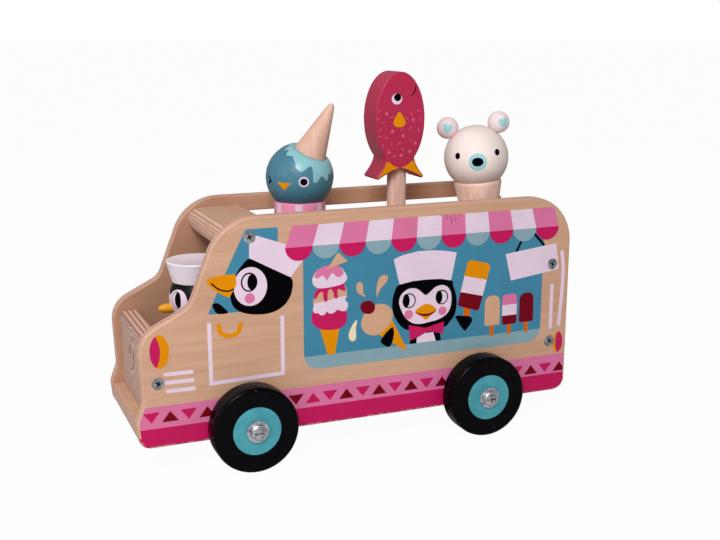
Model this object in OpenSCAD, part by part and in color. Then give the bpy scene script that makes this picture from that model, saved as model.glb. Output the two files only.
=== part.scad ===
// Wooden toy ice cream truck: two plywood sides on a base board, a front
// block, a bull-nosed cab roof, a rear wall and an inner deck with three
// holes for lift-out figures. Millimetres, +X forward, +Y to the truck's
// left, +Z up, origin on the floor under the middle of the truck.

/* [Side panels] */
// Length of the side panels
panel_length = 280; // [220:1:340]
// Height of the side panels
panel_height = 128.6; // [118:0.1:155]
// Height of the axles above the panels' lower edge
axle_height = 7.5; // [6.5:0.5:9]
// Thickness of the plywood side panels
panel_t = 7.6; // [5:0.1:10]
// Clear width between the side panels
inner_width = 70.8; // [60:0.1:90]
// Radius of the rear roof corners and the front roof corners
roof_r = 30; // [18:1:34]
// Lean of the windscreen edge from upright, in degrees
windscreen_lean = 21.3; // [15:0.1:26]
// Height of the serving hatch sill above the panels' lower edge
sill_height = 34.8; // [30:0.1:44]
// Depth of the rail left above the serving hatch
rail_depth = 10.3; // [8:0.1:13]
// Width of the post behind the serving hatch
rear_post = 20; // [16:1:50]
// Radius of the serving hatch corners
hatch_r = 11; // [6:0.5:14]

/* [Boards] */
// Thickness of the base board
base_t = 12.5; // [10:0.5:15]
// Thickness of the front block
block_t = 11; // [9:0.5:14]
// Height of the front block above the base board
block_height = 46; // [38:0.5:50]
// Length of the cab roof
cab_roof_length = 33; // [28:0.5:38]
// Thickness of the cab roof
cab_roof_t = 14.9; // [12:0.1:16]
// Thickness of the rear wall
rear_t = 10; // [8:0.5:12]
// Height of the rear wall above the base board
rear_height = 90; // [89:0.5:95]
// Thickness of the deck that the figures stand in
deck_t = 9; // [6:0.5:10]
// Depth of the deck's top below the roof line
deck_drop = 26.6; // [24:0.1:29]

/* [Wheels] */
// Diameter of the wheels
wheel_d = 51; // [44:0.5:54]
// Thickness of the wheels
wheel_t = 14; // [10:0.5:18]
// Distance between the front and rear axles
wheelbase = 150; // [130:1:170]
// Gap between a wheel and its side panel
wheel_gap = 1; // [0.6:0.1:2]
// Rounding of the wheels' edges
wheel_round = 1.6; // [0.5:0.1:2.5]
// Diameter of the axle screws' shanks
shank_d = 5; // [4:0.1:6]
// Length of the axle screws under the head
shank_length = 46; // [36:1:50]
// Diameter of the axle screws' heads
pan_head_d = 9.4; // [8:0.1:11]
// Height of the axle screws' heads
pan_head_h = 3.2; // [2.4:0.1:4]
// Diameter of the washers
washer_d = 13; // [11.5:0.1:15]
// Thickness of the washers
washer_t = 1.2; // [0.8:0.1:1.6]
// Radial clearance of screws, washers and wheels on the shanks
shank_play = 0.05; // [0.03:0.01:0.08]

/* [Panel screws] */
// Diameter of the countersunk heads
flat_head_d = 7.3; // [6:0.1:8]
// Diameter of the countersunk screws' shanks
flat_shank_d = 3.5; // [3:0.1:4]
// Length of the countersunk screws
flat_screw_length = 25; // [18:1:30]

/* [Driver] */
// Diameter of the driver's head
driver_head_d = 32.8; // [28:0.1:36]
// Diameter of the driver's body
driver_body_d = 32; // [26:0.5:36]
// Height of the middle of the head above the base board
driver_head_height = 59.4; // [50:0.1:60]
// Diameter of the hat's flared top
hat_top_d = 35.4; // [32:0.1:38]
// Diameter of the hat's lower edge
hat_bottom_d = 28.8; // [27:0.1:31]
// Height of the hat
hat_height = 13; // [9:0.1:14]
// Length of the driver's beak in front of the head
driver_beak_length = 8; // [5:0.5:9]

/* [Bird figure] */
// Diameter of the bird's head
bird_head_d = 41; // [36:0.5:44]
// Diameter of the bird's tub
bird_tub_d = 31.4; // [27:0.1:34]
// Distance of the bird's middle from the cab roof, as a share of the deck
bird_share = 0.158; // [0.15:0.001:0.2]
// Height of the tub above the deck
bird_tub_height = 27; // [20:0.5:32]
// Lean of the upturned cone towards the rear, in degrees
bird_cone_lean = 26; // [15:1:40]
// Direction that the bird's cone leans in, in degrees from straight back towards the left side
bird_cone_turn = 44; // [0:1:60]
// Length of the upturned cone
bird_cone_length = 33; // [20:0.5:34]
// Width of the flat left showing round the foot of the bird's cone
bird_flat_margin = 2.4; // [1:0.1:3]
// Diameter of the upturned cone's wide end
bird_cone_d = 19.8; // [16:0.1:21]

/* [Fish figure] */
// Width of the fish
fish_width = 33; // [26:0.5:38]
// Height of the fish from the tail to the top
fish_height = 65.5; // [58:0.5:72]
// Thickness of the fish
fish_t = 20; // [14.5:0.5:22]
// How far the fish sits forward of its stick
fish_forward = 2; // [0:0.5:3]
// Share of the free space between the other two figures that lies behind the fish
fish_share = 0.367; // [0.2:0.001:0.8]
// Diameter of the round stick
stick_d = 12; // [9:0.5:13]
// Height of the fish's tail above the deck
fish_lift = 38; // [30:0.5:44]
// Depth of the stick inside the fish
stick_bite = 14; // [10:0.5:18]

/* [Bear figure] */
// Diameter of the bear's head
bear_head_d = 41.5; // [36:0.5:44]
// Diameter of the bear's ears
bear_ear_d = 14; // [10:0.5:16]
// Distance of the bear's middle from the rear wall at the deck, as a share of the deck
bear_share = 0.1335; // [0.125:0.0005:0.17]
// Lean of the bear figure towards the front, in degrees
bear_lean = 5.5; // [0:0.5:6]
// Direction that the bear looks in, in degrees from the left side
bear_turn = 26; // [0:1:45]
// Extra roll of the bear's head, in degrees
bear_roll = 2.5; // [0:0.5:5]
// Height of the wooden cone above the deck
bear_cone_height = 33.3; // [28:0.1:40]
// Diameter of the wooden cone's wide end
bear_cone_top_d = 31.6; // [28:0.1:34]
// Diameter of the wooden cone at the deck
bear_cone_low_d = 19.4; // [17:0.1:22]
// Angle of the ears from the top of the head, in degrees
bear_ear_angle = 38; // [32:1:48]

/* [Figure pegs] */
// Diameter of the turned pegs under the bird and the bear
peg_d = 12; // [9:0.5:13]
// Length of the pegs below the deck's top
peg_length = 12; // [8:0.5:14]
// Play all round between a peg and its hole
peg_play = 0.6; // [0.5:0.1:1.2]
// Gap under a figure's shoulder
seat_gap = 0.3; // [0.2:0.1:0.5]

/* [Hidden] */
$fn = 96;
cut = 1;                                  // how far a cutter runs past a face

wood = "burlywood";
pale_wood = "wheat";
steel = "silver";

// side panel outline
half_length = panel_length / 2;
axle_z = wheel_d / 2;
panel_bottom = axle_z - axle_height;
roof_z = panel_bottom + panel_height;
sill_z = panel_bottom + sill_height;
inner_y = inner_width / 2;
outer_y = inner_y + panel_t;
bumper_set = 0.2;                         // bumper's lead over the lower corner
front_x = half_length - 2.2;              // upright face under the headlight
notch_x = half_length - 3.8;
notch_z = panel_bottom + 26.4;
bonnet_z = panel_bottom + 65.1;           // bonnet line at the front face
bonnet_fall = 26.6;                       // fall of the bonnet line, degrees
cab_foot_x = half_length - 32.2;          // foot of the windscreen
cab_foot_z = bonnet_z + (front_x - cab_foot_x) * tan(bonnet_fall);
cab_top_x = cab_foot_x - (roof_z - cab_foot_z) * tan(windscreen_lean);
panel_corners = [
    [-half_length, panel_bottom, 8],
    [half_length - 1.2, panel_bottom, 7],
    [half_length + bumper_set, panel_bottom + 15.5, 7],
    [notch_x, notch_z, 3],
    [front_x, bonnet_z, 17],
    [cab_foot_x, cab_foot_z, 12],
    [cab_top_x, roof_z, roof_r],
    [-half_length, roof_z, roof_r]];

// boards between the sides
base_top = panel_bottom + 2.5 + base_t;
block_x = half_length - 18;               // rear face of the front block
cab_roof_front = half_length - 51.4;
cab_roof_top = roof_z - 6.2;
cab_roof_nose_r = cab_roof_t / 2 - 0.2;
rear_x = -half_length + 18;               // inner face of the rear wall
deck_top = roof_z - deck_drop;
deck_front = cab_roof_front - cab_roof_length;
deck_length = deck_front - rear_x;
hatch_front = deck_front - 4.6;
hatch_rear = -half_length + rear_post;
hatch_top = roof_z - rail_depth;

// wheels and their screws
axle_x = wheelbase / 2;
wheel_in = outer_y + wheel_gap;
wheel_out = wheel_in + wheel_t;
washer_in = wheel_out + shank_play;
washer_out = washer_in + washer_t;
bore_d = shank_d + 2 * shank_play;

// countersunk screws, as [x, z] on the panels' outer faces
flat_head_h = (flat_head_d - flat_shank_d) / 2;
flat_screw_places = [
    [block_x + block_t / 2, base_top + block_height / 2],
    [cab_roof_front - cab_roof_length / 2 + 0.8, cab_roof_top - cab_roof_t * 0.36],
    [rear_x - rear_t / 2, base_top + rear_height - 20],
    [rear_x - rear_t / 2, base_top + 19]];

// driver
driver_x = cab_roof_front + 4.8;
driver_head_z = base_top + driver_head_height;
hat_seat = driver_head_z + driver_head_d * 0.31;
neck_z = driver_head_z - driver_head_d * 0.37;
driver_beak_z = driver_head_z - 5;
driver_beak_d = 8;

// bird
bird_seat = deck_top + bird_tub_height;
bird_head_z = bird_seat + bird_head_d * 0.349;
bird_cone_seat = sqrt(pow(bird_head_d / 2, 2) - pow(bird_cone_d / 2 + bird_flat_margin, 2));
bird_cone_tip_r = 2;
bird_x = deck_front - deck_length * bird_share;
bird_rear = bird_x - max(bird_head_d / 2,
    (bird_cone_seat + bird_cone_length) * sin(bird_cone_lean) * cos(bird_cone_turn) + 1);

// fish
fish_low = deck_top + fish_lift;
fish_waist_z = fish_low + 13;
fish_notch_z = fish_low + 6.6;
fish_middle = fish_low + fish_height * 0.557;
fish_up = fish_low + fish_height - fish_middle;
fish_waist_angle = asin((fish_middle - fish_waist_z) / fish_up);
fish_waist = fish_width / 2 * cos(fish_waist_angle);
fish_tail = fish_width * 0.49;

// bear
bear_head_rise = bear_cone_height + bear_head_d * 0.356;
bear_ear_reach = bear_head_d / 2 + bear_ear_d / 2 - 1.2;
bear_hole_d = bear_cone_low_d + 1.6;
bear_x = rear_x + deck_length * bear_share;
bear_front = bear_x + bear_head_rise * sin(bear_lean) + bear_ear_d / 2
    + bear_ear_reach * sin(bear_ear_angle + bear_lean + bear_roll) * cos(bear_turn);

// middle of the fish
fish_x = bear_front + fish_width / 2 + (bird_rear - bear_front - fish_width) * fish_share;

// Points of the arc that rounds corner b between a and c with radius r
function corner_arc(a, b, c, r, steps = 12) =
    let (u = (a - b) / norm(a - b), v = (c - b) / norm(c - b),
         half = acos(u * v) / 2,
         centre = b + (u + v) / norm(u + v) * r / sin(half),
         from = b + u * r / tan(half) - centre,
         to = b + v * r / tan(half) - centre,
         a0 = atan2(from[1], from[0]),
         sweep = (atan2(to[1], to[0]) - a0 + 540) % 360 - 180)
    [for (i = [0 : steps]) centre + r * [cos(a0 + sweep * i / steps), sin(a0 + sweep * i / steps)]];

// Outline through corners given as [x, y, radius]
function rounded(corners) =
    let (n = len(corners))
    [for (i = [0 : n - 1])
        let (a = corners[(i + n - 1) % n], b = corners[i], c = corners[(i + 1) % n])
        each corner_arc([a[0], a[1]], [b[0], b[1]], [c[0], c[1]], b[2])];

// Plate with an outline in X and Z, between two Y faces
module plate(y_low, y_high) {
    translate([0, y_high, 0])
        rotate([90, 0, 0])
            linear_extrude(y_high - y_low) children();
}

// Countersunk screw pointing inwards from the left outer face; grow fattens it
module flat_screw(grow = 0) {
    rotate([90, 0, 0]) {
        cylinder(d = flat_shank_d + 2 * grow, h = flat_screw_length);
        translate([0, 0, -grow])
            cylinder(d1 = flat_head_d + 2 * grow, d2 = flat_shank_d, h = flat_head_h + grow);
    }
}

// The holes that the screws of one side need, seen from the left
module panel_holes() {
    for (p = flat_screw_places)
        translate([p[0], outer_y, p[1]]) flat_screw(shank_play);
    for (end = [-1, 1])
        translate([end * axle_x, outer_y + cut, axle_z])
            rotate([90, 0, 0]) cylinder(d = bore_d, h = shank_length);
}

module side_plate() {
    plate(inner_y, outer_y) polygon(rounded(panel_corners));
}

module side_left() {
    color(wood) difference() {
        side_plate();
        panel_holes();
    }
}

module side_right() {
    color(wood) mirror([0, 1, 0]) difference() {
        side_plate();
        plate(inner_y - cut, outer_y + cut)
            polygon(rounded([
                [hatch_rear, sill_z, hatch_r],
                [hatch_front, sill_z, hatch_r],
                [hatch_front, hatch_top, hatch_r / 4],
                [hatch_rear, hatch_top, hatch_r / 4]]));
        panel_holes();
    }
}

// A board between the sides, less the screws' holes from both sides
module cross_board() {
    difference() {
        plate(-inner_y, inner_y) children();
        for (s = [0, 1]) mirror([0, s, 0]) panel_holes();
    }
}

module base_board() {
    bull = 4;
    color(pale_wood) cross_board()
        polygon(rounded([
            [-half_length + 1, base_top - base_t, bull],
            [half_length - 0.7, base_top - base_t, bull],
            [half_length - 0.7, base_top, 1],
            [-half_length + 1, base_top, 1]]));
}

module front_block() {
    color(pale_wood) cross_board()
        translate([block_x, base_top]) square([block_t, block_height]);
}

module cab_roof() {
    color(wood) cross_board()
        polygon(rounded([
            [deck_front, cab_roof_top - cab_roof_t, 1],
            [cab_roof_front, cab_roof_top - cab_roof_t, cab_roof_nose_r],
            [cab_roof_front, cab_roof_top, cab_roof_nose_r],
            [deck_front, cab_roof_top, 1]]));
}

module rear_wall() {
    color(wood) cross_board()
        translate([rear_x - rear_t, base_top]) square([rear_t, rear_height]);
}

module figure_deck() {
    color(wood) difference() {
        plate(-inner_y, inner_y)
            translate([rear_x, deck_top - deck_t]) square([deck_front - rear_x, deck_t]);
        for (p = [[bird_x, peg_d + 2 * peg_play], [fish_x, stick_d + 2 * peg_play],
                  [bear_x, bear_hole_d]])
            translate([p[0], 0, deck_top - deck_t - cut])
                cylinder(d = p[1], h = deck_t + 2 * cut);
    }
}

// Cross recess in a head of diameter d, cut to a depth below its top at z = 0
module cross_recess(d, depth) {
    for (a = [0, 90])
        rotate([0, 0, a])
            translate([-d * 0.3, -d * 0.06, -depth]) cube([d * 0.6, d * 0.12, depth + cut + d]);
}

module panel_screws() {
    color(steel) for (p = flat_screw_places)
        translate([p[0], outer_y, p[1]]) difference() {
            flat_screw();
            rotate([-90, 0, 0]) cross_recess(flat_head_d, 1.4);
        }
}

module panel_screws_left() { panel_screws(); }
module panel_screws_right() { mirror([0, 1, 0]) panel_screws(); }

// Half outline of a disc: radius, low and high faces, rounded outer corners
function disc_outline(r, low, high, bore_r, round_r) = [
    [bore_r, low], each corner_arc([bore_r, low], [r, low], [r, high], round_r, 6),
    each corner_arc([r, low], [r, high], [bore_r, high], round_r, 6), [bore_r, high]];

// Turns what stands along +Z at the origin onto one wheel's axis
module at_wheel(end, side) {
    translate([end * axle_x, 0, axle_z])
        rotate([-90 * side, 0, 0]) children();
}

module wheel(end, side) {
    color("black") at_wheel(end, side)
        rotate_extrude() polygon(disc_outline(wheel_d / 2, wheel_in, wheel_out, bore_d / 2, wheel_round));
}

module washer(end, side) {
    color(steel) at_wheel(end, side)
        rotate_extrude()
            translate([bore_d / 2, washer_in]) square([(washer_d - bore_d) / 2, washer_t]);
}

module axle_screw(end, side) {
    dome = [for (a = [0 : 9 : 90])
        [pan_head_d / 2 * cos(a), washer_out + pan_head_h * (0.35 + 0.65 * sin(a))]];
    color(steel) at_wheel(end, side) difference() {
        union() {
            rotate_extrude() polygon(concat([[0, washer_out], [pan_head_d / 2, washer_out]], dome));
            translate([0, 0, washer_out - shank_length]) cylinder(d = shank_d, h = shank_length);
        }
        translate([0, 0, washer_out + pan_head_h]) cross_recess(pan_head_d, 2);
    }
}

module driver_body() {
    body_r = driver_body_d / 2;
    color("black") translate([driver_x, 0, 0])
        rotate_extrude()
            polygon(concat([[0, base_top], [body_r - 1, base_top], [body_r, base_top + 1]],
                [for (a = [0 : 7.5 : 67.5])
                    [driver_head_d * 0.3 + (body_r - driver_head_d * 0.3) * cos(a),
                     neck_z - 22 + 22 * sin(a)]],
                [[driver_head_d * 0.33, neck_z], [0, neck_z]]));
}

module driver_head() {
    color("black") translate([driver_x, 0, driver_head_z]) intersection() {
        sphere(d = driver_head_d);
        translate([0, 0, neck_z - driver_head_z])
            cylinder(d = driver_head_d + cut, h = hat_seat - neck_z);
    }
}

module driver_hat() {
    color("white") translate([driver_x, 0, hat_seat])
        cylinder(d1 = hat_bottom_d, d2 = hat_top_d, h = hat_height);
}

module driver_beak() {
    color("orange") difference() {
        translate([driver_x + driver_head_d / 2 - 3, 0, driver_beak_z])
            rotate([0, 90, 0])
                rotate_extrude() polygon(concat([[0, 0], [driver_beak_d / 2, 0]],
                    [for (a = [0 : 10 : 90])
                        [driver_beak_d / 2 * (0.35 + 0.65 * cos(a)) * (a < 90 ? 1 : 0),
                         3 + driver_beak_length * sin(a)]]));
        translate([driver_x, 0, driver_head_z]) sphere(d = driver_head_d);
    }
}

module bird_tub() {
    color("hotpink") translate([bird_x, 0, 0]) {
        translate([0, 0, deck_top + seat_gap])
            cylinder(d = bird_tub_d, h = bird_tub_height - seat_gap);
        translate([0, 0, deck_top - peg_length])
            cylinder(d = peg_d, h = peg_length + seat_gap + cut);
    }
}

// Puts what stands along +Z at the origin on the leaning axis of the bird's cone
module on_bird_axis() {
    translate([bird_x, 0, bird_head_z]) rotate([0, -bird_cone_lean, -bird_cone_turn]) children();
}

module bird_head() {
    color("cadetblue") difference() {
        translate([bird_x, 0, bird_head_z]) sphere(d = bird_head_d);
        translate([bird_x, 0, bird_seat - bird_head_d])
            cylinder(d = bird_head_d, h = bird_head_d);
        on_bird_axis() translate([0, 0, bird_cone_seat])
            cylinder(d = bird_head_d, h = bird_head_d);
    }
}

module bird_cone() {
    slope = atan2(bird_cone_d / 2 - bird_cone_tip_r, bird_cone_length - bird_cone_tip_r);
    color(pale_wood) on_bird_axis() translate([0, 0, bird_cone_seat])
        rotate_extrude() polygon(concat([[0, 0], [bird_cone_d / 2, 0]],
            [for (a = [slope : (90 - slope) / 6 : 90.001])
                [max(0, bird_cone_tip_r * cos(a)),
                 bird_cone_length - bird_cone_tip_r + bird_cone_tip_r * sin(a)]]));
}

// Fish outline: an oval down to a waist, then a flare into a forked tail
function fish_half() = concat(
    [for (i = [0 : 24])
        let (a = 90 - (90 + fish_waist_angle) * i / 24)
        [fish_width / 2 * cos(a), fish_middle + fish_up * sin(a)]],
    [for (t = [0.2 : 0.2 : 1]) [fish_waist + (fish_tail - fish_waist) * pow(t, 1.6),
        fish_waist_z - (fish_waist_z - fish_low - 1.4) * t]],
    [[fish_tail - 0.4, fish_low + 0.2], [fish_tail - 1.8, fish_low]],
    [for (t = [0.25 : 0.25 : 1]) [(fish_tail - 1.8) * (1 - t),
        fish_low + (fish_notch_z - fish_low) * pow(t, 0.8)]]);

module fish_body() {
    half = fish_half();
    outline = concat(half, [for (i = [len(half) - 2 : -1 : 1]) [-half[i][0], half[i][1]]]);
    color("crimson") translate([fish_x, 0, 0]) difference() {
        translate([fish_forward, 0, 0]) plate(-fish_t / 2, fish_t / 2) polygon(outline);
        translate([0, 0, fish_low - cut])
            cylinder(d = stick_d, h = fish_notch_z - fish_low + cut + stick_bite);
    }
}

module fish_stick() {
    color(pale_wood) translate([fish_x, 0, deck_top - peg_length])
        cylinder(d = stick_d, h = fish_notch_z + stick_bite - deck_top + peg_length);
}

// Puts what stands along +Z at the origin on the bear figure's leaning axis
module on_bear_axis() {
    translate([bear_x, 0, deck_top]) rotate([0, bear_lean, 0]) children();
}

module bear_cone() {
    slope = (bear_cone_top_d - bear_cone_low_d) / 2 / bear_cone_height;
    low = -deck_t;
    color(pale_wood) on_bear_axis() translate([0, 0, low])
        cylinder(d1 = bear_cone_low_d + 2 * slope * low, d2 = bear_cone_top_d,
                 h = bear_cone_height - low);
}

module bear_head() {
    color("linen") difference() {
        translate([bear_x + bear_head_rise * sin(bear_lean), 0,
                   deck_top + bear_head_rise * cos(bear_lean)]) sphere(d = bear_head_d);
        on_bear_axis() translate([0, 0, bear_cone_height - bear_head_d])
            cylinder(d = bear_head_d + 2 * cut, h = bear_head_d);
    }
}

// Puts the bear's head at the origin, looking along +Y
module on_bear_head() {
    on_bear_axis() translate([0, 0, bear_head_rise])
        rotate([0, bear_roll, 0]) rotate([0, 0, -bear_turn]) children();
}

module bear_ear(side) {
    color("mistyrose") on_bear_head() difference() {
        rotate([0, side * bear_ear_angle, 0])
            translate([0, 0, bear_ear_reach]) sphere(d = bear_ear_d);
        sphere(d = bear_head_d);
    }
}

side_left();
side_right();
base_board();
front_block();
cab_roof();
rear_wall();
figure_deck();
panel_screws_left();
panel_screws_right();
wheel(1, 1);  // wheel_front_left
wheel(1, -1);  // wheel_front_right
wheel(-1, 1);  // wheel_rear_left
wheel(-1, -1);  // wheel_rear_right
axle_screw(1, 1);  // axle_screw_front_left
axle_screw(1, -1);  // axle_screw_front_right
axle_screw(-1, 1);  // axle_screw_rear_left
axle_screw(-1, -1);  // axle_screw_rear_right
washer(1, 1);  // washer_front_left
washer(1, -1);  // washer_front_right
washer(-1, 1);  // washer_rear_left
washer(-1, -1);  // washer_rear_right
driver_body();
driver_head();
driver_hat();
driver_beak();
bird_tub();
bird_head();
bird_cone();
fish_body();
fish_stick();
bear_cone();
bear_head();
bear_ear(1);  // bear_ear_left
bear_ear(-1);  // bear_ear_right
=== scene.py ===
"""Looks of a wooden toy ice cream truck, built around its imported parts."""

import math

import bmesh
import bpy
from mathutils import Matrix, Vector


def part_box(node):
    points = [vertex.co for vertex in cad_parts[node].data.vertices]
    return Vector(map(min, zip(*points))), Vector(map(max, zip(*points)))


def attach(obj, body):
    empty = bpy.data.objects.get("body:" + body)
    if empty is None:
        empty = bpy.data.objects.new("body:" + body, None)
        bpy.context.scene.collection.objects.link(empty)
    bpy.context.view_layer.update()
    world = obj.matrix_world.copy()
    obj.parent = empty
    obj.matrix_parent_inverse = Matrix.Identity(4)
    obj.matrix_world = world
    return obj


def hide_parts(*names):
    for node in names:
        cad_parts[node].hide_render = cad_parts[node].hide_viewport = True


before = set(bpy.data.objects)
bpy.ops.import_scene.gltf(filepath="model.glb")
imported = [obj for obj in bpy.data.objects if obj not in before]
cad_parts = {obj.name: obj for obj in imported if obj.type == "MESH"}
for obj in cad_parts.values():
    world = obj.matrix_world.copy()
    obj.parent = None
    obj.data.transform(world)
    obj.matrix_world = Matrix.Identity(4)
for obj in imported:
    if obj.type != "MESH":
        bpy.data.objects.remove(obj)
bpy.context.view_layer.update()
MM = 0.001


def box(node):
    """Lowest and highest corner of a CAD node, in millimetres."""
    low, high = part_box(node)
    return Vector(low) / MM, Vector(high) / MM


# ---- camera and light


def add_camera():
    """Camera off the truck's front left, a little above it."""
    data = bpy.data.cameras.new("camera")
    data.lens, data.sensor_width = 53.2, 36
    data.clip_start, data.clip_end = 0.05, 20
    camera = bpy.data.objects.new("camera", data)
    bpy.context.scene.collection.objects.link(camera)
    place = Vector((241.6, 605.8, 250.5)) * MM
    look = Vector((-0.37677, -0.89891, -0.22362))
    right = Vector((-0.92247, 0.38607, 0.00229))
    turn = Matrix((right, right.cross(look), -look)).transposed()
    camera.matrix_world = Matrix.Translation(place) @ turn.to_4x4()
    bpy.context.scene.camera = camera


def add_softbox(name, place, size, power):
    """Square area light at a place, pointing at the truck's middle; millimetres and watts."""
    aim = (0, 0, 90)
    data = bpy.data.lights.new(name, "AREA")
    data.shape, data.size, data.energy = "SQUARE", size * MM, power
    lamp = bpy.data.objects.new(name, data)
    bpy.context.scene.collection.objects.link(lamp)
    lamp.location = Vector(place) * MM
    lamp.rotation_euler = (Vector(aim) - Vector(place)).to_track_quat("-Z", "Y").to_euler()


def seen_white(nodes, shader, strength):
    """Mixes plain white into what is seen directly, but not into what lights the truck."""
    seen = nodes.node("ShaderNodeLightPath", {}, {}, "Is Camera Ray")
    white = nodes.node("ShaderNodeEmission", {}, {})
    lit = Value(nodes, shader.outputs[0])
    mixed = nodes.node("ShaderNodeMixShader", {}, {0: seen * strength, 1: lit, 2: white})
    output = next(n for n in nodes.tree.nodes if n.type.startswith("OUTPUT"))
    nodes.tree.links.new(mixed.socket, output.inputs["Surface"])


def add_stage():
    """Pale floor, white surroundings and soft light from the truck's front left."""
    bpy.ops.mesh.primitive_plane_add(size=40)
    floor = bpy.context.active_object
    floor.name = "floor"
    finish = Finish("floor_paint", {"Roughness": 0.9})
    finish.feed(finish.mix(finish.noise(3, detail=1), srgb(214, 214, 214), srgb(210, 210, 210)))
    seen_white(finish, finish.shader, 0.97)
    floor.data.materials.append(finish.material)
    world = bpy.data.worlds.new("studio")
    world.use_nodes = True
    background = world.node_tree.nodes["Background"]
    background.inputs["Color"].default_value = (1, 1, 1, 1)
    background.inputs["Strength"].default_value = 0.36
    seen_white(Nodes(world.node_tree), background, 1.0)
    bpy.context.scene.world = world
    add_softbox("key", (470, 760, 840), 480, 11)
    add_softbox("front", (1100, 250, 500), 420, 1.6)
    scene = bpy.context.scene
    scene.view_settings.view_transform = "Standard"
    scene.view_settings.look = "None"


# ---- shader maths


def srgb(*levels):
    """A colour given as 0 to 255 display levels, as linear red, green, blue and alpha."""
    linear = [l / 255 / 12.92 if l / 255 <= 0.04045 else ((l / 255 + 0.055) / 1.055) ** 2.4 for l in levels]
    return (*linear, 1.0)


class Value:
    """One shader socket; arithmetic on it adds Math nodes to its tree."""

    def __init__(self, nodes, socket):
        self.nodes = nodes
        self.socket = socket

    def __add__(self, other):
        return self.nodes.math("ADD", self, other)

    def __sub__(self, other):
        return self.nodes.math("SUBTRACT", self, other)

    def __rsub__(self, other):
        return self.nodes.math("SUBTRACT", other, self)

    def __mul__(self, other):
        return self.nodes.math("MULTIPLY", self, other)

    __radd__ = __add__
    __rmul__ = __mul__

    def absolute(self):
        return self.nodes.math("ABSOLUTE", self)

    def wave(self):
        return self.nodes.math("SINE", self)

    def ramp(self, low, high):
        """Rises smoothly from 0 at low to 1 at high, or falls if high is the lower."""
        inputs = {"Value": self, "From Min": low, "From Max": high}
        return self.nodes.node("ShaderNodeMapRange", {"interpolation_type": "SMOOTHSTEP"}, inputs)


class Nodes:
    """A tree whose nodes are added by method calls."""

    def __init__(self, tree):
        self.tree = tree

    def node(self, kind, settings, inputs, output=0):
        """Adds a node with its settings and its sockets' values or links; returns one output."""
        made = self.tree.nodes.new(kind)
        for key, value in settings.items():
            setattr(made, key, value)
        for key, value in inputs.items():
            if isinstance(value, Value):
                self.tree.links.new(value.socket, made.inputs[key])
            else:
                made.inputs[key].default_value = value
        return Value(self, made.outputs[output])

    def math(self, operation, *values):
        return self.node("ShaderNodeMath", {"operation": operation}, dict(enumerate(values)))


class Finish(Nodes):
    """A material and the patterns it is built from."""

    def __init__(self, name, constants=None):
        self.material = bpy.data.materials.new(name)
        self.material.use_nodes = True
        super().__init__(self.material.node_tree)
        self.shader = self.tree.nodes["Principled BSDF"]
        for socket, value in (constants or {}).items():
            self.shader.inputs[socket].default_value = value
        self.coordinates = None

    def mix(self, factor, low, high):
        """The colour low where factor is 0 and high where it is 1."""
        settings = {"data_type": "RGBA", "clamp_factor": True}
        return self.node("ShaderNodeMix", settings, {0: factor, 6: low, 7: high}, 2)

    def place(self):
        """The point on the object, in metres, in the truck's frame at rest."""
        if self.coordinates is None:
            self.coordinates = self.node("ShaderNodeTexCoord", {}, {}, "Object")
        return self.coordinates

    def axis(self, name):
        """One coordinate of the point, in millimetres."""
        split = self.node("ShaderNodeSeparateXYZ", {}, {0: self.place()}, name)
        return split * (1 / MM)

    def noise(self, scale, stretch=(1, 1, 1), detail=3, rough=0.5, distortion=0, turn=(0, 0, 0)):
        """Noise with this many cells a metre, squeezed along each axis by stretch."""
        mapping = {"Vector": self.place(), "Scale": stretch, "Rotation": turn}
        mapped = self.node("ShaderNodeMapping", {}, mapping)
        return self.node("ShaderNodeTexNoise", {}, {
            "Vector": mapped, "Scale": scale, "Detail": detail, "Roughness": rough,
                                                    "Distortion": distortion})

    def specks(self, scale, size):
        """1 in scattered spots of this size, in cells of which a metre holds scale; 0 elsewhere."""
        gap = self.node("ShaderNodeTexVoronoi", {}, {"Vector": self.place(), "Scale": scale}, "Distance")
        return gap.ramp(size, size * 0.5)

    def feed(self, colour=None, roughness=None, height=None, depth=0.05, metallic=None):
        """Joins what varies to the shader; height times depth is in millimetres."""
        for socket, value in (("Base Color", colour), ("Roughness", roughness), ("Metallic", metallic)):
            if value is not None:
                self.tree.links.new(value.socket, self.shader.inputs[socket])
        if height is not None:
            bump = self.node("ShaderNodeBump", {}, {"Height": height, "Distance": depth * MM,
                                                    "Strength": 1.0})
            self.tree.links.new(bump.socket, self.shader.inputs["Normal"])
        return self


# ---- finishes

BIRCH = srgb(197, 153, 124)
BIRCH_DARK = srgb(184, 138, 109)
BIRCH_LIGHT = srgb(206, 166, 137)
PLY_DARK = srgb(128, 84, 66)
BEECH = srgb(222, 181, 160)
BEECH_DARK = srgb(204, 160, 137)


def grain_stretch(along, share=0.045):
    """Mapping scale that draws a pattern out along one axis."""
    return tuple(share if axis == along else 1 for axis in "XYZ")


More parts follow.
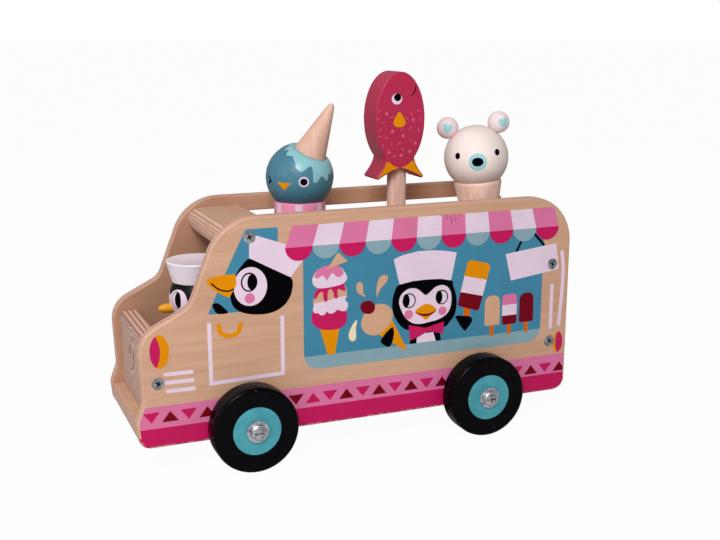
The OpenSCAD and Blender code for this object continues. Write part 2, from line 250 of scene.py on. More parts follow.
def birch_face(finish, along):
    """Colour and relief of sanded birch veneer with its grain along one axis."""
    stretch = grain_stretch(along)
    streaks = finish.noise(430, stretch, detail=5, rough=0.62, distortion=0.4)
    fibres = finish.noise(1500, stretch, detail=2, rough=0.6)
    clouds = finish.noise(22, stretch, detail=2, distortion=0.8)
    blotch = finish.noise(16, detail=2)
    pores = finish.noise(2600, grain_stretch(along, 0.14), detail=1)
    colour = finish.mix(streaks.ramp(0.38, 0.72) * 0.8, BIRCH, BIRCH_DARK)
    colour = finish.mix(clouds.ramp(0.3, 0.75) * 0.55, colour, BIRCH_LIGHT)
    colour = finish.mix(blotch.ramp(0.5, 0.8) * 0.3, colour, srgb(206, 150, 122))
    figure = (finish.noise(13, stretch, detail=1, distortion=1.5) * 70).wave()
    colour = finish.mix(figure.ramp(0.2, 1) * 0.3, colour, BIRCH_DARK)
    colour = finish.mix(fibres.ramp(0.52, 0.75) * 0.25, colour, BIRCH_DARK)
    colour = finish.mix(pores.ramp(0.66, 0.78) * 0.25, colour, PLY_DARK)
    return colour, streaks * 0.35 + fibres * 0.4


def ply_layers(finish, axis, pitch, phase=0.0, along=None):
    """Colour and fuzz of the cut veneers on a plywood edge, stacked along axis, streaked along another."""
    across = finish.axis(axis)
    wobble = finish.noise(60, detail=2) * 0.35
    stripe = ((across + wobble + phase) * (2 * math.pi / pitch)).wave()
    fuzz = finish.noise(900, grain_stretch(along), detail=4, rough=0.7)
    colour = finish.mix(stripe.ramp(-0.2, 0.8), srgb(220, 177, 157), srgb(158, 110, 94))
    return finish.mix(fuzz.ramp(0.5, 0.7) * 0.55, colour, PLY_DARK), fuzz


def birch_panel(name, node):
    """Veneer on a side panel's faces, cut layers round its edge, worn paint round its foot, and painted
    shade on its inner face, deepest inside the cab.
    """
    low, high = box(node)
    finish = Finish(name, {"Coat Weight": 0.12, "Coat Roughness": 0.35})
    colour, relief = birch_face(finish, "X")
    edge, fuzz = ply_layers(finish, "Y", (high.y - low.y) / 2.5, 0.4)
    middle, half = (low.y + high.y) / 2, (high.y - low.y) / 2
    inner, outer = sorted((abs(low.y), abs(high.y)))
    depth = finish.axis("Y").absolute()
    inside = (finish.axis("Y") - middle).absolute().ramp(half - 0.35, half - 0.9)
    # Painted shade: inner faces are darkened a little everywhere and much more inside the cab, under its
    # roof.
    facing_in = depth.ramp(inner + 0.5, inner + 0.2)
    painted_cab_shade = finish.axis("X").ramp(45, 70) * 0.45 + 0.05
    colour = finish.mix(facing_in * painted_cab_shade, colour, srgb(140, 94, 72))
    colour = finish.mix(inside * 0.85, colour, edge)
    below = finish.axis("Z").ramp(26, 24) * depth.ramp(outer - 1.1, outer - 0.9)
    worn = finish.noise(300, detail=3).ramp(0.5, 0.56)
    colour = finish.mix(below * (1 - worn * 0.7), colour, srgb(190, 18, 86))
    finish.feed(colour, finish.noise(200, grain_stretch("X")) * 0.25 + 0.38,
                relief + fuzz * inside * 1.5, 0.05)
    return finish.material


def birch_board(name, node, along, stack):
    """Veneer along one axis on a board's faces and layers stacked along another on its edges."""
    low, high = box(node)
    finish = Finish(name, {"Coat Weight": 0.08, "Coat Roughness": 0.4})
    colour, relief = birch_face(finish, along)
    index = "XYZ".index(stack)
    middle, half = (low[index] + high[index]) / 2, (high[index] - low[index]) / 2
    edge, fuzz = ply_layers(finish, stack, half * 2 / 8.5, 0.3, along)
    inside = (finish.axis(stack) - middle).absolute().ramp(half - 0.1, half - 0.5)
    colour = finish.mix(inside * 0.75, colour, edge)
    finish.feed(colour, finish.noise(150) * 0.2 + 0.45, relief + fuzz * inside * 2, 0.06)
    return finish.material


def plain_wood(name, along, light=BEECH, dark=BEECH_DARK, coarse=1.0, turn=(0, 0, 0)):
    """Bare sanded solid wood with short pores along its grain."""
    finish = Finish(name)
    stretch = grain_stretch(along)
    rings = finish.noise(170 * coarse, stretch, detail=4, rough=0.6, distortion=0.6, turn=turn)
    fine = finish.noise(1600, stretch, detail=2, turn=turn)
    pores = finish.noise(2200, grain_stretch(along, 0.09), detail=1, turn=turn)
    colour = finish.mix(rings.ramp(0.35, 0.7), light, dark)
    colour = finish.mix(pores.ramp(0.62, 0.74) * 0.5, colour, srgb(140, 92, 70))
    finish.feed(colour, fine * 0.2 + 0.45, rings * 0.4 + fine * 0.5 - pores.ramp(0.6, 0.75), 0.05)
    return finish.material


def cathedral_wood(name, node):
    """Flat-sawn board on end: tall arched growth rings round a dark knot."""
    low, high = box(node)
    middle = (low + high) / 2
    finish = Finish(name)
    y, z = finish.axis("Y"), finish.axis("Z")
    warp = finish.noise(34, (1, 1, 0.35), detail=3, distortion=0.7) * 9
    knot_y, knot_z = middle.y - 8, middle.z + 6
    from_knot = finish.math("SQRT", (y - knot_y) * (y - knot_y) + (z - knot_z) * (z - knot_z) * 0.5 + 1)
    arch = (y - middle.y - 4).absolute() + z * 0.22 + warp
    pull = from_knot.ramp(15, 3)
    rings = ((arch * (1 - pull) + from_knot * 1.7 * pull) * (2 * math.pi / 3.1)).wave()
    fine = finish.noise(1300, grain_stretch("Z"), detail=3)
    colour = finish.mix(rings.ramp(0.0, 0.75), srgb(222, 184, 166), srgb(92, 58, 46))
    colour = finish.mix(fine.ramp(0.45, 0.7) * 0.4, colour, srgb(160, 112, 90))
    colour = finish.mix(from_knot.ramp(3.2, 1.8) * 0.75, colour, srgb(84, 48, 36))
    edge, fuzz = ply_layers(finish, "X", (high.x - low.x) / 3.5)
    top = z.ramp(high.z - 0.9, high.z - 0.5)
    colour = finish.mix(top, colour, edge)
    finish.feed(colour, fine * 0.2 + 0.5, rings * 0.5 + fine * 0.5 + fuzz * top, 0.07)
    return finish.material


def print_coat(name, level, chips=0.35, shine=0.14):
    """Satin printed paint through which the wood's grain just shows."""
    finish = Finish(name, {"Specular IOR Level": shine})
    grain = finish.noise(700, grain_stretch("X"), detail=3)
    cloud = finish.noise(45, detail=2)
    base = srgb(*level)
    colour = finish.mix(cloud.ramp(0.3, 0.7) * 0.5, base, srgb(*[l * 0.94 for l in level]))
    colour = finish.mix(grain.ramp(0.55, 0.8) * 0.12, colour, srgb(*[l * 0.8 for l in level]))
    scuff = finish.noise(260, detail=4, rough=0.7) * finish.noise(24, detail=1)
    colour = finish.mix(scuff.ramp(0.46, 0.5) * chips, colour, BIRCH_LIGHT)
    finish.feed(colour, cloud * 0.15 + 0.36, grain, 0.02)
    return finish.material


def painted_wood(name, level, roughness=0.4, along="Z", pores=0.5, coat=0.15, bump=0.06, shine=0.25):
    """Sprayed satin paint that sinks a little into the wood's pores."""
    finish = Finish(name, {"Coat Weight": coat, "Coat Roughness": 0.25, "Specular IOR Level": shine})
    pits = finish.noise(1500, grain_stretch(along, 0.16), detail=1)
    patch = finish.noise(70, detail=2)
    pits_here = pits.ramp(0.64, 0.74) * patch.ramp(0.42, 0.6)
    grain = finish.noise(600, grain_stretch(along), detail=3)
    cloud = finish.noise(38, detail=2)
    colour = finish.mix(cloud.ramp(0.3, 0.7) * 0.6, srgb(*level), srgb(*[l * 0.93 for l in level]))
    colour = finish.mix(grain.ramp(0.5, 0.8) * 0.2, colour, srgb(*[l * 0.86 for l in level]))
    colour = finish.mix(pits_here * pores, colour, srgb(*[l * 0.55 for l in level]))
    finish.feed(colour, cloud * 0.16 + roughness - 0.08, grain * 0.4 - pits_here * 1.2, bump)
    return finish.material


def wheel_black(name):
    """Gloss black paint with a few specks of dust."""
    finish = Finish(name, {"Coat Weight": 0.04, "Coat Roughness": 0.1, "Specular IOR Level": 0.05})
    dust = finish.specks(240, size=0.12) * finish.noise(50).ramp(0.5, 0.6)
    haze = finish.noise(120, detail=4)
    colour = finish.mix(haze.ramp(0.4, 0.8) * 0.5, srgb(2, 1, 4), srgb(7, 6, 10))
    colour = finish.mix(dust * 0.4, colour, srgb(120, 116, 120))
    finish.feed(colour, haze * 0.14 + dust * 0.3 + 0.2, haze, 0.015)
    return finish.material


def hub_paint(name):
    """Slightly uneven brushed-on teal."""
    finish = Finish(name, {"Coat Weight": 0.15, "Coat Roughness": 0.3})
    cloud = finish.noise(90, detail=3, distortion=0.5)
    grain = finish.noise(600, grain_stretch("X"), detail=2)
    colour = finish.mix(cloud.ramp(0.3, 0.7), srgb(62, 156, 168), srgb(50, 138, 150))
    colour = finish.mix(finish.specks(330, size=0.16) * 0.4, colour, srgb(30, 92, 108))
    finish.feed(colour, cloud * 0.2 + 0.35, grain + cloud, 0.05)
    return finish.material


def zinc(name, light=(206, 206, 210), dark=(150, 150, 158), painted_shade_below=None):
    """Dull zinc plate with turning marks and stains; below a distance from the middle it is painted near
    black as painted shade in the recess.
    """
    finish = Finish(name, {"Metallic": 1.0})
    marks = finish.noise(2400, detail=3)
    stain = finish.noise(420, detail=3)
    colour = finish.mix(stain.ramp(0.42, 0.68), srgb(*light), srgb(*dark))
    if painted_shade_below:
        # Painted shade: what lies below that distance, such as the cross recess, is painted near black.
        recess = finish.axis("Y").absolute().ramp(painted_shade_below + 0.1, painted_shade_below - 0.3)
        colour = finish.mix(recess, colour, srgb(16, 16, 20))
    finish.feed(colour, marks * 0.2 + stain * 0.15 + 0.16, marks, 0.02)
    return finish.material


# ---- outlines


def bend(a, b, c, d, steps):
    """Points from b up to c on the smooth curve that goes on to a and d."""
    a, b, c, d = Vector(a), Vector(b), Vector(c), Vector(d)
    square, cube = 2 * a - 5 * b + 4 * c - d, 3 * b - a - 3 * c + d
    shares = [k / steps for k in range(steps)]
    return [tuple(0.5 * (2 * b + (c - a) * t + square * t ** 2 + cube * t ** 3)) for t in shares]


def smooth(points, steps=5):
    """Closed smooth curve through the points."""
    count, drawn = len(points), []
    for i in range(count):
        drawn += bend(*(points[(i + k) % count] for k in (-1, 0, 1, 2)), steps)
    return drawn


def curve(points, steps=5):
    """Open smooth curve through the points."""
    first, last = Vector(points[0]), Vector(points[-1])
    path = [first * 2 - Vector(points[1]), *points, last * 2 - Vector(points[-2])]
    drawn = []
    for stretch in zip(path, path[1:], path[2:], path[3:]):
        drawn += bend(*stretch, steps)
    return drawn + [tuple(last)]


def rounded(points, radius, steps=4):
    """The same corners, each rounded off, all alike or each by its own radius."""
    count, outline = len(points), []
    radii = radius if isinstance(radius, list) else [radius] * count
    for i in range(count):
        a, b, c = (Vector(points[(i + k) % count]) for k in (-1, 0, 1))
        reach = min(radii[i], (a - b).length * 0.49, (c - b).length * 0.49)
        start, end = b + (a - b).normalized() * reach, b + (c - b).normalized() * reach
        for k in range(steps + 1):
            t = k / steps
            outline.append(tuple(start * (1 - t) ** 2 + b * 2 * t * (1 - t) + end * t ** 2))
    return outline


def oval(u, v, half_u, half_v=None, tilt=0.0, count=32):
    """Ellipse about (u, v), turned anticlockwise by tilt degrees."""
    half_v = half_v or half_u
    turn = math.radians(tilt)
    points = []
    for i in range(count):
        a = 2 * math.pi * i / count
        x, y = half_u * math.cos(a), half_v * math.sin(a)
        points.append((u + x * math.cos(turn) - y * math.sin(turn),
                       v + x * math.sin(turn) + y * math.cos(turn)))
    return points


def stroke(points, width, caps=True):
    """Outline of a line drawn through the points, with round ends if caps is true."""
    points = [Vector(p) for p in points]
    half, left, right = width / 2, [], []
    for i, point in enumerate(points):
        before = (point - points[i - 1]).normalized() if i else None
        after = (points[i + 1] - point).normalized() if i < len(points) - 1 else None
        along = ((before or after) + (after or before)).normalized()
        side = Vector((-along.y, along.x)) * half / max(0.3, along.dot(after or before))
        left.append(point + side)
        right.append(point - side)
    arcs = [[], []]
    if caps:
        for arc, tip, behind in ((arcs[0], points[0], points[1]), (arcs[1], points[-1], points[-2])):
            out = (tip - behind).normalized() * half
            for k in range(1, 6):
                a = math.pi * k / 6
                arc.append(tip + out * math.sin(a) + Vector((-out.y, out.x)) * -math.cos(a))
    return [tuple(p) for p in left + arcs[1][::-1] + right[::-1] + arcs[0][::-1]]


def encloses(points, spot):
    """Whether a closed outline goes round a spot."""
    within = False
    for i in range(len(points)):
        (ax, ay), (bx, by) = points[i - 1], points[i]
        if (ay > spot[1]) != (by > spot[1]) and spot[0] < ax + (bx - ax) * (spot[1] - ay) / (by - ay):
            within = not within
    return within


def bitten(points, centre, radius):
    """The outline with a round bite out of it, or a round hole joined to its edge by a fine slit."""
    count, centre, fine = len(points), Vector(centre), []
    for i, point in enumerate(points):
        a, b = Vector(point), Vector(points[(i + 1) % count])
        share = min(1, max(0, (centre - a).dot(b - a) / max(1e-9, (b - a).length_squared)))
        close = (a.lerp(b, share) - centre).length < radius + 1
        steps = max(1, round((b - a).length / 0.4)) if close else 1
        fine += [a.lerp(b, k / steps) for k in range(steps)]
    covered = [(p - centre).length < radius for p in fine]
    count = len(fine)
    if not any(covered):
        if not encloses(points, centre):
            return points
        near = min(range(count), key=lambda i: (fine[i] - centre).length)
        start = math.atan2(fine[near].y - centre.y, fine[near].x - centre.x)
        area = sum(fine[i - 1].cross(fine[i]) for i in range(count))
        turn = -1 if area > 0 else 1
        hole = [centre + Vector((math.cos(a), math.sin(a))) * radius
                for a in (start + turn * (0.01 + (2 * math.pi - 0.02) * k / 32) for k in range(33))]
        leave = fine[near].lerp(fine[near - 1], 0.02)
        return [tuple(p) for p in fine[:near] + [leave] + hole + fine[near:]]
    first = next(i for i in range(count) if not covered[i] and covered[(i + 1) % count])
    kept = []
    for i in range(count):
        here = (first + 1 + i) % count
        if not covered[here]:
            kept.append(fine[here])
    leave, enter = kept[-1], kept[0]
    start = math.atan2(leave.y - centre.y, leave.x - centre.x)
    end = math.atan2(enter.y - centre.y, enter.x - centre.x)
    sweep = (end - start) % (2 * math.pi)
    middle = centre + Vector((math.cos(start + sweep / 2), math.sin(start + sweep / 2))) * radius
    if not encloses(points, middle):
        sweep -= 2 * math.pi
    arc = [centre + Vector((math.cos(a), math.sin(a))) * radius
           for a in (start + sweep * k / 16 for k in range(17))]
    return [tuple(p) for p in kept + arc]


def clip(points, corner, inward):
    """The part of an outline on the inward side of a line through corner."""
    corner, inward = Vector(corner), Vector(inward)
    kept = []
    for i in range(len(points)):
        a, b = Vector(points[i - 1]), Vector(points[i])
        side_a, side_b = (a - corner).dot(inward), (b - corner).dot(inward)
        if side_a * side_b < 0:
            kept.append(tuple(a.lerp(b, side_a / (side_a - side_b))))
        if side_b >= 0:
            kept.append(tuple(b))
    return kept


def shifted(points, du, dv):
    return [(u + du, v + dv) for u, v in points]


# ---- modelling


def activate(piece):
    """Back to object mode with only this piece selected."""
    if bpy.context.mode != "OBJECT":
        bpy.ops.object.mode_set(mode="OBJECT")
    bpy.ops.object.select_all(action="DESELECT")
    if piece:
        piece.select_set(True)
        bpy.context.view_layer.objects.active = piece


def start_edit(piece):
    activate(piece)
    bpy.ops.object.mode_set(mode="EDIT")
    bpy.ops.mesh.select_all(action="SELECT")


def named(piece, name):
    piece.name = piece.data.name = name
    return piece


def settle(piece, material, body, nodes=(), angle=35, recalculate=True):
    """Closes a piece's modelling: faces outwards, smooth where shallow, material and body."""
    start_edit(piece)
    if recalculate:
        bpy.ops.mesh.normals_make_consistent(inside=False)
    bpy.ops.object.mode_set(mode="OBJECT")
    bpy.ops.object.shade_smooth_by_angle(angle=math.radians(angle))
    if not recalculate:
        piece.modifiers.new("flat faces", "WEIGHTED_NORMAL").keep_sharp = True
        bpy.ops.object.modifier_apply(modifier="flat faces")
    piece.data.materials.clear()
    piece.data.materials.append(material)
    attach(piece, body)
    if nodes:
        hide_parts(*nodes)
    return piece


def merged_copy(node, name):
    """Own copy of a CAD node with its loose triangles joined into whole faces."""
    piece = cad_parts[node].copy()
    piece.data = piece.data.copy()
    piece.parent = None
    piece.matrix_world = Matrix()
    bpy.context.scene.collection.objects.link(piece)
    named(piece, name)
    start_edit(piece)
    bpy.ops.mesh.remove_doubles(threshold=0.002 * MM)
    bpy.ops.mesh.dissolve_limited(angle_limit=math.radians(0.4))
    return piece


def round_edges(piece, width, wanted, steps=3, sharp=35):
    """Rounds the sharp edges whose middle, in millimetres, passes the test wanted."""
    start_edit(piece)
    bpy.ops.mesh.select_mode(type="EDGE")
    bpy.ops.mesh.select_all(action="DESELECT")
    mesh = bmesh.from_edit_mesh(piece.data)
    for edge in mesh.edges:
        middle = (edge.verts[0].co + edge.verts[1].co) / 2 / MM
        edge.select = edge.calc_face_angle(0) > math.radians(sharp) and wanted(middle)
    bmesh.update_edit_mesh(piece.data)
    bpy.ops.mesh.bevel(offset=width * MM, segments=steps, affect="EDGES", clamp_overlap=True,
                       loop_slide=False)
    bpy.ops.mesh.select_mode(type="VERT")
    bpy.ops.object.mode_set(mode="OBJECT")


def turned(name, rings, around=96, ring_shaped=False):
    """Lathe work along +Z from rings of (radius, height); a ring shape ends where it began."""
    activate(None)
    radius, height = rings[0]
    bpy.ops.mesh.primitive_circle_add(
        vertices=around, radius=radius * MM, location=(0, 0, height * MM),
        fill_type="NOTHING" if ring_shaped else "NGON")
    piece = named(bpy.context.active_object, name)
    bpy.ops.object.transform_apply(location=True)
    start_edit(piece)
    for next_radius, next_height in rings[1:]:
        rise = (0, 0, (next_height - height) * MM)
        bpy.ops.mesh.extrude_region_move(TRANSFORM_OT_translate={"value": rise})
        share = next_radius / radius
        bpy.ops.transform.resize(value=(share, share, 1))
        radius, height = next_radius, next_height
    bpy.ops.mesh.select_all(action="SELECT")
    bpy.ops.mesh.remove_doubles(threshold=0.001 * MM)
    bpy.ops.object.mode_set(mode="OBJECT")
    return piece


def put(piece, middle, turn=(0, 0, 0)):
    """Turns a piece by degrees about X, Y and Z, moves it and writes the place into its mesh."""
    activate(piece)
    piece.rotation_euler = [math.radians(a) for a in turn]
    piece.location = Vector(middle) * MM
    bpy.ops.object.transform_apply(location=True, rotation=True, scale=True)
    return piece


def ball(name, middle, radius, cuts=()):
    """Ball with flats: each cut is a point on its plane and the direction that is cut away."""
    activate(None)
    bpy.ops.mesh.primitive_uv_sphere_add(segments=96, ring_count=48, radius=radius * MM,
                                         location=Vector(middle) * MM)
    piece = named(bpy.context.active_object, name)
    bpy.ops.object.transform_apply(location=True)
    for point, away in cuts:
        start_edit(piece)
        bpy.ops.mesh.bisect(plane_co=Vector(point) * MM, plane_no=away, use_fill=True, clear_outer=True)
        bpy.ops.object.mode_set(mode="OBJECT")
    return piece


def face_outline(piece, y):
    """Longest closed loop round the flat face that lies at this y, as (x, z) millimetres."""
    mesh = bmesh.new()
    mesh.from_mesh(piece.data)
    flat = [f for f in mesh.faces if abs(f.normal.y) > 0.999
            and abs(f.calc_center_median().y / MM - y) < 0.02]
    flat_set = set(flat)
    rim = {e for f in flat for e in f.edges if sum(l in flat_set for l in e.link_faces) == 1}
    loops = []
    while rim:
        edge = rim.pop()
        start, vert = edge.verts
        loop = [start, vert]
        while True:
            step = next((e for e in vert.link_edges if e in rim), None)
            if step is None:
                break
            rim.discard(step)
            vert = step.other_vert(vert)
            loop.append(vert)
        if loop[-1] is loop[0]:
            loop.pop()
        loops.append([(v.co.x / MM, v.co.z / MM) for v in loop])
    mesh.free()
    return max(loops, key=len)


LAYER = 0.03   # thickness of one coat of paint, in millimetres
SUNK = -0.05   # height of a coat's underside, in millimetres


def film(name, material, shapes, place, body, pitch=None, coat=LAYER, edge=None):
    """Coats of one paint: (layer, outline) pairs in flat (u, v), laid by place(u, v, height).

    Where the surface curves, pitch is how finely the coats are diced. coat is a layer's thickness
    and edge the rounding of a thick one. Each coat's underside is sunk a little into the surface.
    """
    points, faces = [], []
    for layer, outline in shapes:
        faces.append(range(len(points), len(points) + len(outline)))
        points += [(u, v, layer * 10) for u, v in outline]
    mesh = bpy.data.meshes.new(name)
    mesh.from_pydata(points, [], faces)
    piece = bpy.data.objects.new(name, mesh)
    bpy.context.scene.collection.objects.link(piece)
    start_edit(piece)
    if pitch:
        bpy.ops.mesh.quads_convert_to_tris(ngon_method="BEAUTY")
        for axis, normal in enumerate((Vector((1, 0, 0)), Vector((0, 1, 0)))):
            low = math.floor(min(p[axis] for p in points) / pitch) * pitch
            high = max(p[axis] for p in points)
            while low < high:
                bpy.ops.mesh.select_all(action="SELECT")
                bpy.ops.mesh.bisect(plane_co=normal * low, plane_no=normal)
                low += pitch
        bpy.ops.mesh.select_all(action="SELECT")
    bpy.ops.mesh.extrude_region_move(TRANSFORM_OT_translate={"value": (0, 0, 5)})
    bpy.ops.object.mode_set(mode="OBJECT")
    for vertex in mesh.vertices:
        layer, top = divmod(vertex.co.z + 0.5, 10)
        height = (layer + 1) * coat if top > 2 else SUNK
        vertex.co = Vector(place(vertex.co.x, vertex.co.y, height)) * MM
    if edge:
        round_edges(piece, edge, lambda middle: True, 2, 50)
    return settle(piece, material, body)


def on_face(y):
    """Lays (x, z) on the flat face at this y, outwards from the middle of the truck."""
    side = 1 if y > 0 else -1
    return lambda u, v, height: (u, y + side * height, v)


def on_ball(middle, radius, azimuth, elevation=0.0, roll=0.0):
    """Lays a face's (right, up) on a ball that looks this way; azimuth turns from +Y to +X."""
    a, e = math.radians(azimuth), math.radians(elevation)
    out = Vector((math.sin(a) * math.cos(e), math.cos(a) * math.cos(e), math.sin(e)))
    right = Vector((-math.cos(a), math.sin(a), 0))
    up = out.cross(right)
    spin = Matrix.Rotation(math.radians(roll), 3, out)
    right, up = spin @ right, spin @ up

    def place(u, v, height):
        deep = math.sqrt(max(0.0, radius ** 2 - u ** 2 - v ** 2))
        point = (right * u + up * v + out * deep).normalized() * (radius + height)
        return Vector(middle) + point

    return place


def on_cylinder(x, y, radius):
    """Lays (distance round from +Y towards +X, height above the floor) on an upright cylinder."""
    def place(u, v, height):
        a = u / radius
        return (x + (radius + height) * math.sin(a), y + (radius + height) * math.cos(a), v)
    return place


# ---- paints

PRINT = {   # each printed colour's slot and material
    "magenta": ("crimson_paint", print_coat("print_magenta", (190, 18, 86))),
    "pink": ("pink_paint", print_coat("print_pink", (210, 112, 154))),
    "blue": ("blue_paint", print_coat("print_blue", (62, 128, 156))),
    "white": ("white_paint", print_coat("print_white", (222, 200, 217), 0.1)),
    "grey": ("blue_paint", print_coat("print_grey_blue", (130, 160, 170))),
    "orange": ("orange_paint", print_coat("print_orange", (218, 136, 0), 0.35, 0.06)),
    "stick": ("orange_paint", print_coat("print_dark_orange", (208, 98, 4), 0.35, 0.06)),
    "dark_red": ("crimson_paint", print_coat("print_dark_red", (112, 0, 20), 0.2, 0.08)),
    "black": ("black_paint", print_coat("print_black", (2, 1, 4), 0.05, 0.03)),
    "beige": ("orange_paint", print_coat("print_beige", (202, 158, 128))),
    "cream": ("cream_paint", print_coat("print_cream", (230, 214, 180), 0.1)),
    "mint": ("blue_paint", print_coat("print_mint", (150, 203, 208), 0.1)),
    "dot": ("pink_paint", print_coat("print_dot", (198, 92, 132), 0.1)),
}


def lay_print(where, coats, place, body, pitch=None):
    """One film for each colour of a list of (layer, colour, outline)."""
    for colour in sorted({colour for _, colour, _ in coats}):
        shapes = [(layer, outline) for layer, found, outline in coats if found == colour]
        slot, material = PRINT[colour]
        film(f"{where}_{colour}", material, shapes, place, body, pitch)


# ---- printed sides


def lower_bands(outline):
    """Magenta and pink bands along a side's lower edge, with their row of small triangles."""
    magenta = clip(outline, (0, 29.7), (0, -1))
    pink = clip(clip(outline, (0, 29.7), (0, 1)), (0, 42.7), (0, -1))
    coats = [(0, "magenta", magenta), (0, "pink", pink)]
    odd_ones = {8: "dark_red", 9: "magenta"}
    for i in range(26):
        x = 132.0 - 10.7 * i
        middle = 35.1 + 1.1 * x / 133
        tip = 3.1 if i % 2 else -3.1
        colour = odd_ones.get(i, "dark_red" if i % 2 else "magenta")
        corners = [(x - 4.8, middle - tip), (x + 4.8, middle - tip), (x, middle + tip)]
        mark = clip(clip(rounded(corners, 0.3, 2), (-138.4, 0), (1, 0)), (136.3, 0), (-1, 0))
        coats.append((1, colour, mark))
    return coats


def oval_side(u, v, half_u, half_v, start, end, inner):
    """The part of an oval from one angle round to another, closed along the inner points."""
    arc = []
    for i in range(21):
        a = math.radians(start + (end - start) * i / 20)
        arc.append((u + half_u * math.cos(a), v + half_v * math.sin(a)))
    return arc + inner


def door_and_lamps():
    """A door's outline and handle, striped lamps at both ends, and short lines beside them."""
    handle = curve([(91.9, 85.8), (91, 81.8), (88, 79.5), (83.6, 79.3), (80.4, 81.2), (79, 85.2)])
    front_bend = curve([(127.8, 65.2), (126.1, 70), (125.6, 75.2), (126.5, 80), (128, 83.2)])[1:-1]
    rear_bend = curve([(-133.6, 57.6), (-132.3, 54.6), (-131.9, 50.6), (-132.3, 47), (-133.5, 43.6)])[1:-1]
    coats = [
        (0, "white", stroke([(97.5, 87.8), (97.1, 52.1), (54.3, 53), (54.2, 87.8)], 2.3, False)),
        (0, "orange", stroke(handle, 2.7)),
        (0, "magenta", oval(126.1, 74.3, 5.45, 9.7)),
        (1, "orange", oval_side(126.1, 74.3, 5.45, 9.7, 69, 289, front_bend)),
        (0, "magenta", oval(-133.6, 50.6, 3.65, 7.05)),
        (1, "orange", oval_side(-133.6, 50.6, 3.65, 7.05, -90, 90, rear_bend)),
        (0, "white", stroke([(-127.6, 89.9), (-127.6, 60.2)], 2.5, False)),
        (0, "white", stroke(curve([
            (-133.8, 111.2), (-135.1, 103.3), (-135.5, 95.7), (-135.2, 83.3), (-134.6, 73.7),
            (-133.8, 61.6)]), 2.5, False)),
    ]
    for z, rear, front in ((60.7, 108.3, 123.2), (55.8, 108, 122.8), (50.8, 107.4, 122.2)):
        coats.append((0, "white", stroke([(rear, z - 0.1), (front, z + 0.1)], 2.3)))
    return coats


def cab_window():
    """Blue window with a bird in a white cap at the wheel."""
    head = [
        (72.4, 122.7), (77.8, 119.1), (81.3, 114), (82.8, 108.1), (84.6, 102.9), (83.8, 97.3),
        (80.4, 93.3), (75, 91), (68.8, 89.9), (61.8, 90), (55.5, 92.1), (50.8, 96.1), (48.1, 102.1),
        (48.7, 109.9), (60.7, 116.6)]
    beak = [
        (98.8, 111.8), (96.1, 113.6), (88.4, 114.8), (81.5, 114.7), (81, 108.6), (85.5, 101.2),
        (92.4, 105.2), (97.3, 109.9)]
    return [
        (0, "blue", rounded([(75.1, 139.7), (56.2, 139.7), (55.9, 92.2), (97.9, 92.8), (87.5, 115.2)],
                            0.9)),
        (1, "black", smooth(head)),
        (1, "black", smooth([
            (95.2, 97.8), (94.2, 98.9), (91.8, 98.7), (88.5, 95.8), (86.4, 92.7), (92.7, 92.9)])),
        (2, "white", oval(72.9, 106.7, 9.9, 11.3)),
        (3, "white", rounded([
            (69.3, 135.9), (42.7, 126.4), (41.1, 119.3), (48.9, 110), (73.3, 123.2), (73.1, 131.4)], 0.4)),
        (3, "black", oval(73.6, 109.3, 4.9, 5.6)),
        (4, "white", oval(73.6, 109.3, 4.0, 4.7)),
        (5, "black", oval(71.8, 109.2, 2.9, 4.7)),
        (3, "pink", oval(73.4, 99.9, 3)),
        (4, "orange", rounded(beak, 1.1)),
        (5, "black", stroke(curve([(95.4, 110.4), (92.4, 107.6), (89.5, 106), (86, 105.3), (82.8, 106.1)]),
                            0.9)),
    ]


def awning(mid_z=127.3, low_z=119.2, coloured_rail=False):
    """Eleven striped panels that spread downwards and end in scallops."""
    coats, stripes = [], 11
    top_front, top_pitch, low_front, low_pitch = 47.4, 15.81, 52.0, 16.6
    for i in range(stripes):
        a, b = top_front - top_pitch * i, top_front - top_pitch * (i + 1)
        c, d = low_front - low_pitch * i, low_front - low_pitch * (i + 1)
        coats.append((7, "white" if i % 2 else "pink", [(a, 139.7), (b, 139.7), (d, mid_z), (c, mid_z)]))
        if not coloured_rail:
            middle, half = (c + d) / 2, (c - d) / 2
            arc = [(middle + half * math.cos(math.pi * k / 18),
                    mid_z - (mid_z - low_z) * math.sin(math.pi * k / 18))
                   for k in range(19)]
            coats.append((7, "grey" if i % 2 else "magenta", arc))
    return coats


